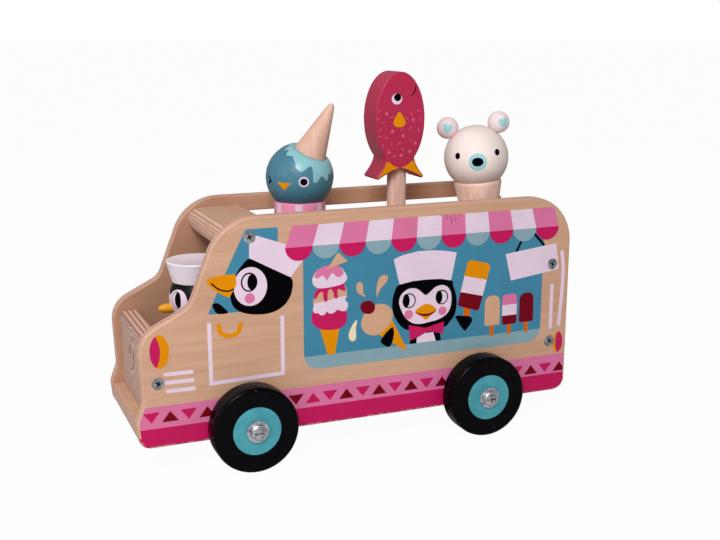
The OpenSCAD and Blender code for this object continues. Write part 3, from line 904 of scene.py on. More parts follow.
def ice_stack():
    """Three scoops with syrup, whipped cream and a wafer in an orange cone."""
    return [
        (1, "orange", rounded([(31.3, 78), (18.7, 77.4), (21.7, 60.6), (26.2, 60.7)], 0.5)),
        (2, "magenta", smooth([
            (35.4, 87.9), (36.1, 84.2), (35.3, 80.5), (31.5, 77.4), (25.4, 76), (19.2, 76.1),
            (15.3, 78.3), (14.1, 81.9), (14.5, 86.5), (19.2, 90), (30.7, 90)])),
        (1, "beige", smooth([
            (34.4, 97.7), (32.5, 101.5), (24.5, 103), (16.5, 103.2), (14.4, 99.8), (14.1, 96.8),
            (14.9, 94.2), (24.6, 92.4), (34.2, 92), (35, 95.2)])),
        (3, "white", smooth([
            (34.1, 92.9), (27.6, 93.7), (24.6, 94.2), (14.9, 95.6), (15.3, 93.2), (13.7, 91.6),
            (13.4, 89), (14.9, 86.7), (17.6, 86.8), (19.9, 87.9), (20.3, 87.7), (22.7, 86), (25.4, 86.1),
            (26.6, 87.3), (28.4, 85.5), (31.1, 85.8), (31.9, 86.9), (34.1, 87.1), (35.4, 89),
            (34.9, 91.5)])),
        (4, "magenta", smooth([
            (32.3, 101.5), (24.5, 103), (16.8, 103.4), (15.1, 100.3), (15.4, 98.8), (16.6, 99.1),
            (19.2, 100.2), (20.1, 98.9), (19.8, 95.5), (21.1, 94.6), (22.1, 96.1), (23, 99.5),
            (24.9, 100.7), (26.1, 98.7), (26.4, 94.3), (27.6, 93.3), (28.8, 95.3), (29, 98.3),
            (29.7, 99.6), (31.4, 98.9), (33.3, 96.1), (34.6, 95.7), (34.5, 97.7)])),
        (5, "white", smooth([
            (35.7, 106.9), (34.8, 103.8), (31.4, 101.8), (24.5, 101.9), (17.6, 102.9), (14.5, 105),
            (14.1, 107.6), (16.1, 111), (19.1, 113.6), (26.7, 114.3), (32.7, 112.3), (35.1, 109.1)])),
        (6, "pink", smooth([
            (34.3, 109), (32.7, 112.5), (28.3, 114.5), (22.9, 114.9), (19.1, 113.9), (16.7, 111.1),
            (16.4, 108.9), (18.5, 107.5), (20.7, 107.9), (23.3, 110.2), (26.6, 106.4), (26.9, 106.4),
            (29.2, 109.2), (32.3, 107.9)])),
        (7, "beige", rounded([(19.5, 122.3), (13.5, 116.5), (26.4, 112.8)], 0.3)),
    ]


def splash():
    """Flying drops, a cherry and a scoop slipping off its cone into a bird's flipper."""
    return [
        (1, "beige", smooth([
            (2, 93.8), (3.6, 96.6), (3.8, 100.3), (4.5, 102.6), (6, 103.3), (7.5, 102.5), (8.1, 100),
            (7.1, 96.9), (4.4, 95)])),
        (1, "beige", smooth([
            (-5.5, 92.9), (-4.9, 95.8), (-5.5, 101.7), (-7.4, 105.3), (-10.2, 106.2), (-12.2, 104.8),
            (-11.8, 102.3), (-9.4, 99.8), (-7.1, 97.1), (-6.1, 94.9)])),
        (1, "cream", smooth([
            (7.6, 80.1), (9.8, 78.4), (12.2, 74.2), (13, 71.3), (12.2, 68.5), (10.2, 67.3), (8.4, 68.5),
            (8.1, 71.5), (8.3, 75.3)])),
        (1, "orange", rounded([(-5.6, 70.2), (-15.2, 78.2), (-25.2, 58.6), (-24.2, 57.6)], 0.6)),
        (2, "black", rounded([
            (-16.1, 73.4), (-16.8, 69.9), (-16.1, 65), (-13.9, 60.6), (-10.8, 62), (-7.3, 65),
            (-10.8, 69.8), (-14.6, 73)], 1.6)),
        (3, "beige", smooth([
            (-4.3, 88.3), (-9.1, 88.4), (-13.2, 86.5), (-15.6, 82.8), (-15.5, 78.8), (-13.3, 75),
            (-9.3, 71.3), (-4.5, 69.4), (0.3, 70.4), (3.5, 73.2), (5, 77.2), (4.2, 80.9), (1.5, 85)])),
        (4, "dark_red", smooth([
            (5.5, 87.8), (4.4, 90.3), (0.8, 91.3), (-2.3, 90.4), (-4.1, 87.2), (-2.8, 83.9), (0.8, 83.2),
            (4, 84.6)])),
    ]


def vendor_bird():
    """The bird behind the counter, in a tall white cap and a bow tie."""
    hat = [
        (-16, 115.2), (-22.8, 117.4), (-32.1, 118.8), (-42.2, 118.6), (-50.2, 117.6), (-58.2, 116.1),
        (-54.7, 98.8), (-47.4, 100.4), (-38.6, 100.8), (-29.2, 100.7), (-20, 99.3)]
    head = [
        (-19.6, 99.1), (-16.6, 94.7), (-15.3, 88.3), (-15.9, 82.4), (-18.3, 77.1), (-21.8, 72.7),
        (-26.6, 70.2), (-38.4, 69.4), (-50.4, 69.6), (-54.4, 72.5), (-57.6, 76.7), (-58.9, 82.5),
        (-58.4, 89.2), (-56.3, 95.3), (-54.6, 99), (-42.6, 101.4), (-30.8, 101.3)]
    face = [
        (-22.4, 94.1), (-26.2, 96.1), (-30.9, 95.9), (-34.1, 93.8), (-37.6, 91.2), (-40.8, 93.1),
        (-44.3, 95.7), (-49, 96.4), (-52.7, 94.6), (-54.8, 91.1), (-55.3, 85.8), (-54.2, 80.7),
        (-51.5, 77.3), (-46.3, 74.9), (-40.7, 74), (-34.4, 73.3), (-28.9, 74.5), (-24.1, 78.3),
        (-21.3, 83.3), (-19.9, 87.8), (-20.4, 91.4)]
    coats = [
        (1, "black", [(-27.3, 61.3), (-27.1, 70), (-47.3, 70), (-48.6, 61.3)]),
        (2, "white", [(-31.8, 61.3), (-32, 64.7), (-37.7, 67.2), (-43.3, 67), (-45, 61.3)]),
        (2, "black", smooth(head)),
        (3, "white", smooth(face)),
        (4, "white", rounded(hat, 0.3, 1)),
        (4, "orange", smooth([
            (-30.5, 80.9), (-33.4, 83.9), (-38.1, 85.6), (-42.1, 84.2), (-45.1, 80.9), (-41.4, 78.1),
            (-37.9, 75.6), (-34.7, 78.1)])),
        (5, "dark_red", smooth([
            (-31.3, 80.8), (-34.5, 79.8), (-38.2, 79.4), (-41.8, 79.8), (-44.6, 80.8), (-42, 78.7),
            (-38.2, 77.8), (-34.2, 78.7)])),
        (5, "magenta", [
            (-26.4, 73.4), (-38, 70.4), (-50.4, 73.2), (-49.9, 65.7), (-39.2, 68), (-27.4, 63.3)]),
        (1, "black", rounded([
            (-58.2, 75.1), (-58.7, 75.9), (-61.7, 75.7), (-68.3, 74.6), (-70.1, 73.1), (-70.2, 71.8),
            (-69.2, 69.6), (-65.6, 65.5), (-64.8, 65.6), (-61.9, 69)], 0.6)),
    ]
    for x, z, half, pupil in ((-26.5, 88.6, 4.4, -24.5), (-48.6, 88.8, 4.3, -46.7)):
        coats.append((4, "black", oval(x, z, half, half + 0.3)))
        coats.append((5, "white", oval(x, z, half - 0.75, half - 0.45)))
        coats.append((6, "black", oval(pupil, z + 0.2, 2.3, half - 0.2)))
    coats += [(4, "pink", oval(-26.3, 80, 2.95)), (4, "pink", oval(-49.2, 80.1, 2.8))]
    return coats


def banded_lolly(corners, colours, cuts, radii, layer=2):
    """Rounded ice on a stick, its bands of colour cut at shares of its length from the top."""
    coats = []
    outline = rounded(corners, radii)
    top, foot = Vector(corners[0]).lerp(Vector(corners[1]),
                                        0.5), Vector(corners[3]).lerp(Vector(corners[2]), 0.5)
    along = foot - top
    for i, colour in enumerate(colours):
        band = clip(outline, top + along * cuts[i - 1], along) if i else outline
        if i < len(cuts):
            band = clip(band, top + along * cuts[i], -along)
        coats.append((layer, colour, band))
    return coats


def lollies():
    """A big tilted lolly in a bird's flipper, and three small ones behind the counter."""
    coats = [(1, "stick", stroke([(-66.4, 82), (-66, 74.4)], 4.2, False))]
    coats += banded_lolly([(-66.4, 110.9), (-82.3, 106.8), (-74.6, 77.4), (-59.5, 82.2)],
                          ["orange", "white", "dark_red"], [0.346, 0.69], [3, 3, 2, 2])
    row = ((-84.2, 86.4, 67, 5.4, ["beige"], [], 5.3, 1.2),
           (-96.6, 86.1, 66.5, 5.25, ["pink", "white", "dark_red"], [0.345, 0.7], 2.6, 1.8),
           (-108.9, 86, 66.8, 5.2, ["dark_red"], [], 5.2, 1.2))
    for x, top, foot, half, colours, cuts, crown, heel in row:
        coats.append((1, "stick", stroke([(x - 0.15, foot + 1), (x - 0.15, 60.1)], 2.8, False)))
        corners = [(x + half, top), (x - half, top), (x - half - 0.2, foot), (x + half - 0.2, foot)]
        coats += banded_lolly(corners, colours, cuts, [crown, crown, heel, heel])
    return coats


def hanging_sign():
    """Blank board on two strings."""
    return [
        (3, "black", stroke([(-103.6, 119.6), (-100.2, 112.8)], 1.6, False)),
        (3, "black", stroke([(-113.2, 123.4), (-120.6, 115.6)], 1.6, False)),
        (4, "white", rounded([(-92.7, 112.2), (-129.4, 116.4), (-132.1, 99.3), (-97, 94.8)], 0.4)),
    ]


def scratches():
    """A few thin dark scrapes on the awning's upper edge."""
    scrapes = (((-46.9, 140.2), (-47.4, 139.2)), ((-50.3, 140), (-51.4, 136.8)),
               ((-52.9, 139.4), (-54.2, 134.3)), ((-54.4, 137), (-54.9, 134.8)),
               ((-55.8, 139.9), (-57, 135.4)), ((-57.7, 138), (-58.1, 136.2)),
               ((-59.2, 139.5), (-60.2, 137.9)), ((-48.9, 139.3), (-49.2, 138.4)))
    return [(8, "black", stroke(ends, 0.22)) for ends in scrapes]


def print_sides(left, right):
    y = box("side_left")[1].y
    outline = face_outline(left, y)
    counter = rounded([(41.2, 130), (41.2, 52.8), (-120, 52.8), (-120, 130)], 11, 8)
    serving = [(0, "blue", clip(counter, (0, 61.1), (0, 1))), (0, "grey",
                                                               clip(counter, (0, 61.1), (0, -1)))]
    common = lower_bands(outline) + door_and_lamps() + cab_window()
    coats = common + serving + awning() + ice_stack() + splash() + vendor_bird() + lollies() + hanging_sign()
    coats += scratches()
    lay_print("print_left", round_screws(coats), on_face(y), "truck")
    common = lower_bands(face_outline(right, -y)) + door_and_lamps() + cab_window()
    coats = common + awning(137.3, 137.3, True)
    lay_print("print_right", round_screws(coats), on_face(-y), "truck")


def round_screws(coats):
    """The coats with a bite out of each outline that would run under a screw's head."""
    for spot in screw_places():
        coats = [(layer, colour, bitten(outline, spot, 3.2)) for layer, colour, outline in coats]
    return coats


# ---- boards


def nearest(middle, spots):
    """Distance in (x, z) from a point to the nearest of the spots."""
    return min((Vector((middle.x, middle.z)) - spot).length for spot in spots)


def add_boards():
    inner, y = (corner.y for corner in box("side_left"))
    screws = [Vector((v.co.x, v.co.z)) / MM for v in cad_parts["panel_screws_left"].data.vertices]
    axles = [sum(box(n), Vector()) / 2 for n in ("wheel_front_left", "wheel_rear_left")]
    axles = [Vector((a.x, a.z)) for a in axles]

    def clear_of_holes(middle):
        on_face = min(abs(abs(middle.y) - y), abs(abs(middle.y) - inner)) < 0.1
        return nearest(middle, screws) > 0.8 and nearest(middle, axles) > 6 and on_face

    panels = []
    for node, name in (("side_left", "panel_left"), ("side_right", "panel_right")):
        piece = merged_copy(node, name)
        round_edges(piece, 1.5, clear_of_holes, 4)
        settle(piece, birch_panel(name + "_birch", node), "truck", [node], 40, False)
        panels.append(piece)
    floor, block, slab = "floor_board", "nose_block", "cab_slab"
    wall, deck = "tail_wall", "deck_board"
    boards = (
        ("base_board", floor, 0.7, birch_board(floor + "_birch", "base_board", "X", "Z")),
        ("front_block", block, 0.9, cathedral_wood(block + "_beech", "front_block")),
        ("cab_roof", slab, 0.6, birch_board(slab + "_birch", "cab_roof", "Y", "Z")),
        ("rear_wall", wall, 0.8, birch_board(wall + "_birch", "rear_wall", "Y", "X")),
        ("figure_deck", deck, 0.5, birch_board(deck + "_birch", "figure_deck", "X", "Z")),
    )
    for node, name, width, material in boards:
        low, high = box(node)
        lowest = high.z - 0.1 if name == deck else low.z - 1
        piece = merged_copy(node, name)

        def edge_wanted(m, low=low, high=high, lowest=lowest):
            on_side = abs(m.y - low.y) < 0.1 or abs(m.y - high.y) < 0.1
            in_screw_hole = nearest(m, screws) < 1 and (on_side or abs(m.y) > 5)
            in_axle_hole = nearest(m, axles) < 4 and on_side
            return m.z > lowest and not (in_screw_hole or in_axle_hole)

        round_edges(piece, width, edge_wanted, 3)
        settle(piece, material, "truck", [node], 40, False)
    return panels


# ---- running gear


def add_wheels():
    paint, hub, metal = wheel_black("wheel_black"), hub_paint("hub_teal"), zinc("zinc_plate")
    for end in ("front", "rear"):
        for side, sign in (("left", 1), ("right", -1)):
            node = f"wheel_{end}_{side}"
            low, high = box(node)
            middle, radius, thick = (low + high) / 2, (high.x - low.x) / 2, high.y - low.y
            half, bore, lip = thick / 2, 2.6, 2.0
            lower = [(radius - lip + lip * math.sin(math.pi / 2 * k / 6),
                      -half + lip - lip * math.cos(math.pi / 2 * k / 6)) for k in range(7)]
            upper = [(r, -h) for r, h in lower[::-1]]
            face = [(radius - 4.2, half), (radius - 4.6, half - 0.06), (14.6, half - 0.06), (14.3, half),
                    (3.2, half),
                    (bore, half - 0.4)]
            rings = [(bore, -half), (3.2, -half)] + lower + upper + face + [(bore, -half)]
            wheel = turned(f"{node}_turned", rings, 128, True)
            put(wheel, middle, (-90 * sign, 0, 0))
            settle(wheel, paint, node, [node])
            rings = [(3.4, half - 0.2), (14.3, half - 0.2), (14.25, half + 0.015), (14, half + 0.04),
                     (3.4, half + 0.04), (3.4, half - 0.2)]
            disc = turned(f"hub_disc_{end}_{side}", rings, 96, True)
            put(disc, middle, (-90 * sign, 0, 0))
            settle(disc, hub, node)
            for kind in ("axle_screw", "washer"):
                metal_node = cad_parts[f"{kind}_{end}_{side}"]
                metal_node.data.materials.clear()
                metal_node.data.materials.append(metal)


def add_panel_screws():
    """Countersunk cross-head screws, their heads a little proud of the print."""
    # The last argument is the side's outer face: below it, the cross recess is painted near black as painted
    # shade.
    metal = zinc("screw_zinc", (182, 184, 188), (120, 123, 130), box("side_left")[1].y)
    top = [(3.5, -1.9), (3.65, 0.05), (3.55, 0.2), (3.1, 0.34), (2.0, 0.46), (0.9, 0.5), (0.05, 0.5)]
    rings = [(0.1, -25), (1.2, -23), (1.75, -21.5), (1.75, -3.6), (1.75, -1.9)] + top
    for side, sign in (("left", 1), ("right", -1)):
        node = f"panel_screws_{side}"
        y = box(f"side_{side}")[1].y if sign > 0 else box(f"side_{side}")[0].y
        heads = []
        for i, (x, z) in enumerate(screw_places()):
            head = turned(f"{node}_{i}", rings, 40)
            cut_cross(head, 0.5, 1.5, 2.3, 0.42)
            put(head, (x, y, z), (-90 * sign, 37 * (i + 1), 0))
            heads.append(head)
        activate(heads[0])
        for head in heads[1:]:
            head.select_set(True)
        bpy.ops.object.join()
        settle(named(heads[0], f"{node}_turned"), metal, "truck", [node], 30, False)


def cut_cross(head, top, depth, reach, half):
    """Cuts a tapered cross recess into the top of a screw head."""
    for turn in (0, 90):
        activate(None)
        bpy.ops.mesh.primitive_cube_add(size=1, location=(0, 0, (top + 1 - depth / 2) * MM),
                                        rotation=(0, 0, math.radians(turn)),
                                        scale=(reach * 2 * MM, half * 2 * MM, (depth + 2) * MM))
        cutter = bpy.context.active_object
        bpy.ops.object.transform_apply(location=True, rotation=True, scale=True)
        for vertex in cutter.data.vertices:
            if vertex.co.z < 0:
                vertex.co.x *= 0.55 if turn == 0 else 1
                vertex.co.y *= 0.55 if turn == 90 else 1
        activate(head)
        cut = head.modifiers.new("cut", "BOOLEAN")
        cut.operation, cut.solver, cut.object = "DIFFERENCE", "EXACT", cutter
        bpy.ops.object.modifier_apply(modifier="cut")
        bpy.data.objects.remove(cutter)


def screw_places():
    """Middle of each countersunk screw on a side, as (x, z) in millimetres, from its CAD node."""
    groups = []
    y = box("side_left")[1].y
    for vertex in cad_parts["panel_screws_left"].data.vertices:
        if vertex.co.y / MM < y - 1:
            continue
        spot = Vector((vertex.co.x, vertex.co.z)) / MM
        near = next((g for g in groups if (g[0] - spot).length < 9), None)
        if near:
            near.append(spot)
        else:
            groups.append([spot])
    places = []
    for group in groups:
        low = Vector((min(p.x for p in group), min(p.y for p in group)))
        high = Vector((max(p.x for p in group), max(p.y for p in group)))
        places.append(tuple((low + high) / 2))
    return sorted(places)


# ---- driver


def add_driver():
    black = painted_wood("driver_black", (7, 6, 10), 0.42, coat=0.06, shine=0.1)
    white = painted_wood("hat_white", (232, 220, 230), 0.4, pores=0.25)
    beak_paint = painted_wood("driver_beak_orange", (222, 152, 14), 0.36, "X", 0.2)
    low, high = box("driver_head")
    radius = (high.x - low.x) / 2
    middle = Vector(((low.x + high.x) / 2, 0, high.z - radius * 0.62))
    head = ball("driver_head_turned", middle, radius, [(low, (0, 0, -1)), (high, (0, 0, 1))])
    settle(head, black, "truck", ["driver_head"])
    low, high = box("driver_body")
    r = (high.x - low.x) / 2
    neck = radius * 0.66
    shoulder = [(neck - 0.6 + (r - neck + 0.6) * math.cos(math.radians(a)),
                 high.z - low.z - 22 + 22 * math.sin(math.radians(a))) for a in range(0, 69, 6)]
    body = turned("driver_body_turned", [(r - 1, 0), (r, 1)] + shoulder + [(neck, high.z - low.z)])
    put(body, (middle.x, 0, low.z))
    settle(body, black, "truck", ["driver_body"])
    low, high = box("driver_hat")
    top, tall = (high.x - low.x) / 2, high.z - low.z
    foot = top * 28.8 / 35.4
    rings = [(foot - 0.6, 0), (foot, 0.5), (top - 0.35, tall - 1.2), (top - 0.15, tall - 0.7),
             (top - 0.4, tall - 0.2),
             (top - 1.0, tall), (top - 1.7, tall - 0.1), (top - 2.6, tall - 0.4), (1, tall - 0.5)]
    hat = turned("driver_hat_turned", rings)
    put(hat, (middle.x, 0, low.z))
    settle(hat, white, "truck", ["driver_hat"])
    low, high = box("driver_beak")
    tall, long = (high.z - low.z) / 2, high.x - low.x
    rings = [(tall * 0.72, 0)] + [(max(0.25, tall * (0.27 + 0.45 * math.cos(math.radians(a)))
                                       * (1 - (a / 90) ** 5)),
                                  2 + (long - 3) * math.sin(math.radians(a))) for a in range(0, 91, 9)]
    beak = turned("driver_beak_turned", rings)
    put(beak, (low.x, 0, (low.z + high.z) / 2), (0, 90, 0))
    settle(beak, beak_paint, "truck", ["driver_beak"])
    half = [
        (0, 1.2), (2.2, 2.4), (5, 4.8), (8.2, 5.6), (11.4, 4.2), (13.5, 0.4), (13.4, -4), (11.6, -8),
        (8, -11.4), (4, -12.8), (0, -13.2)]
    patch = half + [(-u, v) for u, v in half[-2:0:-1]]
    face = on_ball(middle, radius, 90)
    lay_print("driver_face", [(0, "white", shifted(smooth(patch), 0, 1.8))], face, "truck", 1.2)
    for side, sign in (("left", 1), ("right", -1)):
        place = on_ball(middle, radius, 90 - sign * 28)
        eye = [(1, "black", oval(0, 1.2, 3.8, 5.1)), (2, "white", oval(0, 1.2, 3.3, 4.6)),
               (3, "black", oval(1.6 * sign, 1.4, 2.3, 4.6, 6 * sign))]
        lay_print(f"driver_eye_{side}", eye, place, "truck", 1.2)


# ---- figures


def add_bird():
    low, high = box("bird_tub")
    x, r = (low.x + high.x) / 2, (high.x - low.x) / 2
    deck, seat = box("figure_deck")[1].z + 0.3, high.z
    tub = turned("bird_tub_turned", [(5.4, low.z), (6, low.z + 0.6), (6, deck), (r - 0.5, deck),
                                     (r, deck + 0.5),
                                     (r, seat - 0.4), (r - 0.4, seat)])
    put(tub, (x, 0, 0))
    settle(tub, painted_wood("tub_pink", (240, 143, 178), 0.4), "bird", ["bird_tub"])
    stripes = []
    for i in range(7):
        middle, half = math.radians(22 + 51.43 * i) * r, math.radians(8.2) * r
        stripes.append((0, "white", rounded([(middle - half, deck + 0.7), (middle + half, deck + 0.7),
                                             (middle + half, seat - 0.6), (middle - half, seat - 0.6)],
                                            0.3)))
    lay_print("tub_stripes", stripes, on_cylinder(x, 0, r), "bird", 1.0)

    low, high = box("bird_head")
    r = (high.y - low.y) / 2
    middle = Vector((x, 0, low.z + r * 0.698))
    lean, turn, flat_radius = -26, -44, 12.3   # degrees, and the flat that the cone stands on
    lean_back = Matrix.Rotation(math.radians(lean), 3, "Y")
    axis = Matrix.Rotation(math.radians(turn), 3, "Z") @ lean_back @ Vector((0, 0, 1))
    flat = math.sqrt(r * r - flat_radius ** 2)
    head = ball("bird_head_turned", middle, r, [(low, (0, 0, -1)), (middle + axis * flat, axis)])
    blue = painted_wood("bird_blue", (68, 118, 138), 0.45, "Z", 1.0, 0.1, 0.08)
    settle(head, blue, "bird", ["bird_head"])
    base, tip, tall = 9.9, 2, 31
    slope = math.atan2(base - tip, tall)
    rings = [(base - 0.4, flat), (base, flat + 0.35)]
    rings += [(base - (base - tip) * k / 8 * 0.98, flat + (tall + 0.4) * k / 8) for k in range(1, 8)]
    rings += [(max(0.1, tip * math.cos(a)), flat + tall + tip * math.sin(a))
              for a in (slope + (math.pi / 2 - slope) * k / 6 for k in range(7))]
    cone = turned("bird_cone_turned", rings)
    put(cone, middle, (0, lean, turn))
    along_cone = (0, math.radians(-lean), 0)
    beech = plain_wood("cone_beech", "Z", srgb(212, 171, 152), srgb(202, 160, 140), turn=along_cone)
    settle(cone, beech, "bird", ["bird_cone"])

    crown = Vector((-0.5, 0, 0.866))   # middle of the drips, whose outline is in degrees round it
    across = Vector((0, 1, 0)).cross(crown)
    drips = [
        (97, 48.8), (84, 49), (76, 63.3), (68, 59), (62, 70.6), (50, 67.5), (45, 71.3), (37, 77),
        (32, 83.5), (22, 84.7), (18, 79), (13, 70), (8, 70.4), (-3, 88.5), (-8, 89.7), (-11, 86.9),
        (-12, 78.4), (-16, 74), (-22, 75.4), (-28, 77.5), (-31, 73.8), (-30, 64.5), (-38, 62.7),
        (-46, 53), (-56, 50), (-64, 66), (-74, 52), (-88, 74), (-98, 55), (-112, 62), (-123, 48),
        (-138, 70), (-151, 50), (-165, 63), (-178, 49), (170, 72), (157, 52), (142, 61), (130, 47),
        (117, 64), (107, 50)]
    outline = [(t * math.cos(math.radians(p)), t * math.sin(math.radians(p))) for p, t in drips]

    def round_cone(u, v, height):
        turn, reach = math.atan2(v, u), math.radians(math.hypot(u, v))
        side = Vector((0, 1, 0)) * math.cos(turn) + across * math.sin(turn)
        out = crown * math.cos(reach) + side * math.sin(reach)
        if r * out.dot(axis) > flat:
            return middle + out * (flat / out.dot(axis)) + axis * height
        return middle + out * (r + height)

    mint = painted_wood("drip_mint", (132, 184, 190), 0.36, pores=0.1, coat=0.2)
    tilt = math.degrees(crown.angle(axis))
    round_from = math.atan2(axis.dot(across), axis.y)
    foot = (tilt * math.cos(round_from), tilt * math.sin(round_from))
    drip = [(0, bitten(smooth(outline, 4), foot, 28))]
    film("bird_drips", mint, drip, round_cone, "bird", 3.2, 0.22, 0.3)
    face = on_ball(middle, r, 46)
    coats = [
        (0, "white", oval(11.2, -0.4, 2.6, 3.05)),
        (1, "black", oval(11.2, -0.4, 1.8, 2.1)),
        (0, "black", stroke([(-12.5, 1.9), (-10.1, -0.7), (-12.7, -2.6)], 1.2, False)),
        (0, "orange", rounded([(-4.7, -0.9), (4.2, -1.2), (-0.4, -5.8)], 0.4)),
    ]
    lay_print("bird_face", coats, face, "bird", 1.0)


def add_fish():
    low, high = box("fish_body")
    x, y = (low.x + high.x) / 2, high.y
    piece = merged_copy("fish_body", "fish_shape")
    stick_low, stick_high = box("fish_stick")
    stick_x, stick_r = (stick_low.x + stick_high.x) / 2, (stick_high.x - stick_low.x) / 2

    def outline_edge(m):
        on_rim = min(abs(m.y - low.y), abs(m.y - high.y)) < 0.1
        return on_rim and not (abs(m.x - stick_x) < stick_r + 0.5 and m.z < low.z + 9 and abs(m.y) < 7)

    round_edges(piece, 0.9, outline_edge, 3)
    outline = face_outline(piece, y)
    crimson = painted_wood("fish_crimson", (174, 34, 72), 0.45, "Z", 0.12)
    settle(piece, crimson, "fish", ["fish_body"], 40, False)
    centre = low.z + (high.z - low.z) * 0.557
    tips = [tail_tip(outline, (x, centre), 15.6, high.z - centre + 0.4, side) for side in (1, -1)]
    coats = [(0, "orange", tip) for tip in tips]

    def here(points):
        return shifted(points, x, 0)

    coats += [
        (0, "white", here(oval(2.74, 207.1, 3.5, 3.3))),
        (1, "black", here(oval(2.3, 208.1, 2.4, 2.3))),
        (0, "black", here(smooth([
            (-9.6, 215.2), (-10.1, 213), (-9, 210.5), (-6.4, 208.4), (-8.4, 210.9), (-9.3, 212.6)]))),
        (0, "orange", here(smooth([
            (1.2, 199.3), (3.2, 196.6), (4.9, 193.2), (3.8, 190.7), (0.4, 189.9), (-2.4, 190.8),
            (-3.2, 193.4), (-1.2, 196.8)]))),
    ]
    for u, v in (
        (9.4, 198.4), (-8.5, 194.2), (5.6, 187.5), (-1.8, 184.6), (-10, 179.8), (7.8, 174.8),
        (-6.4, 174.9), (-0.4, 172.6)):
        coats.append((0, "dot", here(oval(u, v, 1.0))))
    dashes = (
        (13.9, 200.1, 60), (6.0, 196.3, 25), (15.5, 195.4, -8), (11.7, 193.1, 15), (14.0, 188.5, 50),
        (14.0, 184.8, -10), (9.6, 183.7, 15), (5.9, 180.0, 80), (11.7, 178.8, 75), (0.8, 180.0, 30),
        (-1.5, 176.1, -50), (4.3, 172.2, 15), (-4.1, 195.4, -50), (-0.7, 188.5, 5), (-6.3, 188.7, 75),
        (-6.7, 181.8, -40), (-7.3, 197.7, -55), (-12.1, 199.8, -5), (-13.5, 194.4, 85),
        (-12.2, 187.9, -65))
    for u, v, slant in dashes:
        a = math.radians(180 - slant)
        du, dv = math.cos(a) * 0.95, math.sin(a) * 0.95
        coats.append((0, "dot", here(stroke([(u - du, v - dv), (u + du, v + dv)], 0.5))))
    lay_print("fish_near", coats, on_face(y), "fish")
    lay_print("fish_far", coats, on_face(-y), "fish")
    low, high = box("fish_stick")
    stick = turned("fish_stick_turned", [(stick_r - 0.7, low.z), (stick_r, low.z + 0.7),
                                         (stick_r, high.z - 0.4),
                                         (stick_r - 0.4, high.z)], 64)
    put(stick, (stick_x, 0, 0))
    beech = plain_wood("stick_beech", "Z", srgb(236, 200, 184), srgb(212, 170, 150), 1.6)
    settle(stick, beech, "fish", ["fish_stick"])


def tail_tip(outline, middle, half_width, half_height, side):
    """One orange tail tip: what the flat face's outline holds beyond the oval body."""
    x, z = middle
    top = max(range(len(outline)), key=lambda i: outline[i][1])
    loop = outline[top:] + outline[:top]
    if (loop[len(loop) // 4][0] - x) * side < 0:
        loop = loop[::-1]
    rim = [p for p in loop if (p[0] - x) * side > 0.4 and p[1] < z - half_height * 0.8]
    rim = [p for p in rim if math.hypot((p[0] - x) / half_width, (p[1] - z) / half_height) > 1.0]
    start = math.atan2((z - rim[0][1]) / half_height, (rim[0][0] - x) * side / half_width)
    arc = []
    for k in range(9):
        a = math.pi / 2 - 0.02 - (math.pi / 2 - 0.02 - start) * k / 9
        arc.append((x + side * half_width * math.cos(a), z - half_height * math.sin(a)))
    return rim + arc


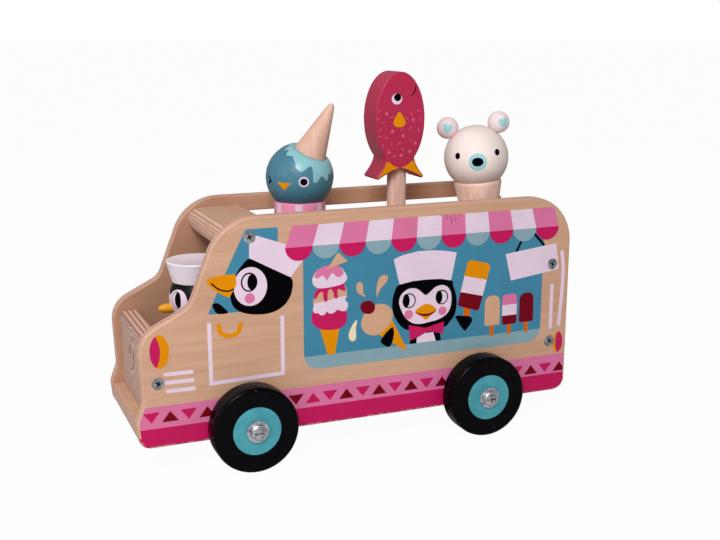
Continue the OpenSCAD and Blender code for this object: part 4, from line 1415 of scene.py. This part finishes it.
def add_bear():
    low, high = box("bear_head")
    r = (high.x - low.x) / 2
    middle = Vector(((low.x + high.x) / 2, 0, high.z - r))
    lean = math.radians(5.5)
    axis = Vector((math.sin(lean), 0, math.cos(lean)))
    tall, base, rim = 33.3, 9.7, 15.8
    foot = middle - axis * (tall + r * 0.712)
    seat = foot + axis * tall
    cream = painted_wood("bear_cream", (236, 220, 214), 0.55, "Z", 0.12, coat=0.05, bump=0.04)
    head = ball("bear_head_turned", middle, r, [(seat, -axis)])
    settle(head, cream, "bear", ["bear_head"])
    slope = (rim - base) / tall
    rings = [(base - 9 * slope - 0.4, -9), (base - 8.6 * slope, -8.6), (base, 0), (base + 17 * slope, 17),
             (rim - 1.8 * slope, tall - 1.8), (rim - 0.5, tall - 0.8), (rim - 0.9, tall - 0.25),
             (rim - 1.3, tall)]
    cone = turned("bear_cone_turned", rings)
    put(cone, foot, (0, math.degrees(lean), 0))
    beech = plain_wood("bear_beech", "Z", srgb(240, 204, 188), srgb(220, 180, 162), 2.2)
    settle(cone, beech, "bear", ["bear_cone"])
    ear_paint = painted_wood("ear_blush", (236, 214, 216), 0.5, "Z", 0.1, coat=0.05, bump=0.03)
    head_turn = (Matrix.Rotation(math.radians(8), 3, "Y") @ Matrix.Rotation(math.radians(-26), 3, "Z"))
    ear_r, reach = 7.0, r + 5.8
    join = (reach ** 2 + r ** 2 - ear_r ** 2) / (2 * reach)
    for name, side in (("bear_ear_left", 1), ("bear_ear_right", -1)):
        out = head_turn @ Matrix.Rotation(math.radians(38 * side), 3, "Y") @ Vector((0, 0, 1))
        centre = middle + out * reach
        ear = ball(name + "_turned", centre, ear_r, [(middle + out * join, -out)])
        settle(ear, ear_paint, "bear", [name])
        heart = smooth([
            (0, 1.5), (1.1, 2.6), (2.4, 2.5), (3.1, 1.1), (2.3, -0.9), (0.1, -3.4), (-2.2, -1.1),
            (-3.1, 0.9), (-2.5, 2.4), (-1.1, 2.7)], 4)
        where = on_ball(centre, ear_r, 28 if side > 0 else 2, 4, -14 if side > 0 else 18)
        lay_print(f"{name}_heart", [(0, "mint", heart)], where, "bear", 1.0)
    face = on_ball(middle, r, 28.9, 6.7)
    coats = [
        (0, "white", oval(-11.6, 0.5, 1.9, 2.5)),
        (1, "black", oval(-11.6, 0.5, 1.45, 2.05)),
        (0, "white", oval(13.1, 3.3, 1.9, 2.5, 8)),
        (1, "black", oval(13.1, 3.3, 1.45, 2.05, 8)),
        (0, "mint", oval(1.1, -3.1, 5.6, 5.5)),
        (1, "black", oval(1.1, -3.1, 3.6, 2.75, 4)),
    ]
    lay_print("bear_face", coats, face, "bear", 1.0)


# ---- everything

add_camera()
add_stage()
left_panel, right_panel = add_boards()
print_sides(left_panel, right_panel)
add_wheels()
add_panel_screws()
add_driver()
add_bird()
add_fish()
add_bear()

bpy.context.view_layer.update()
activate(None)
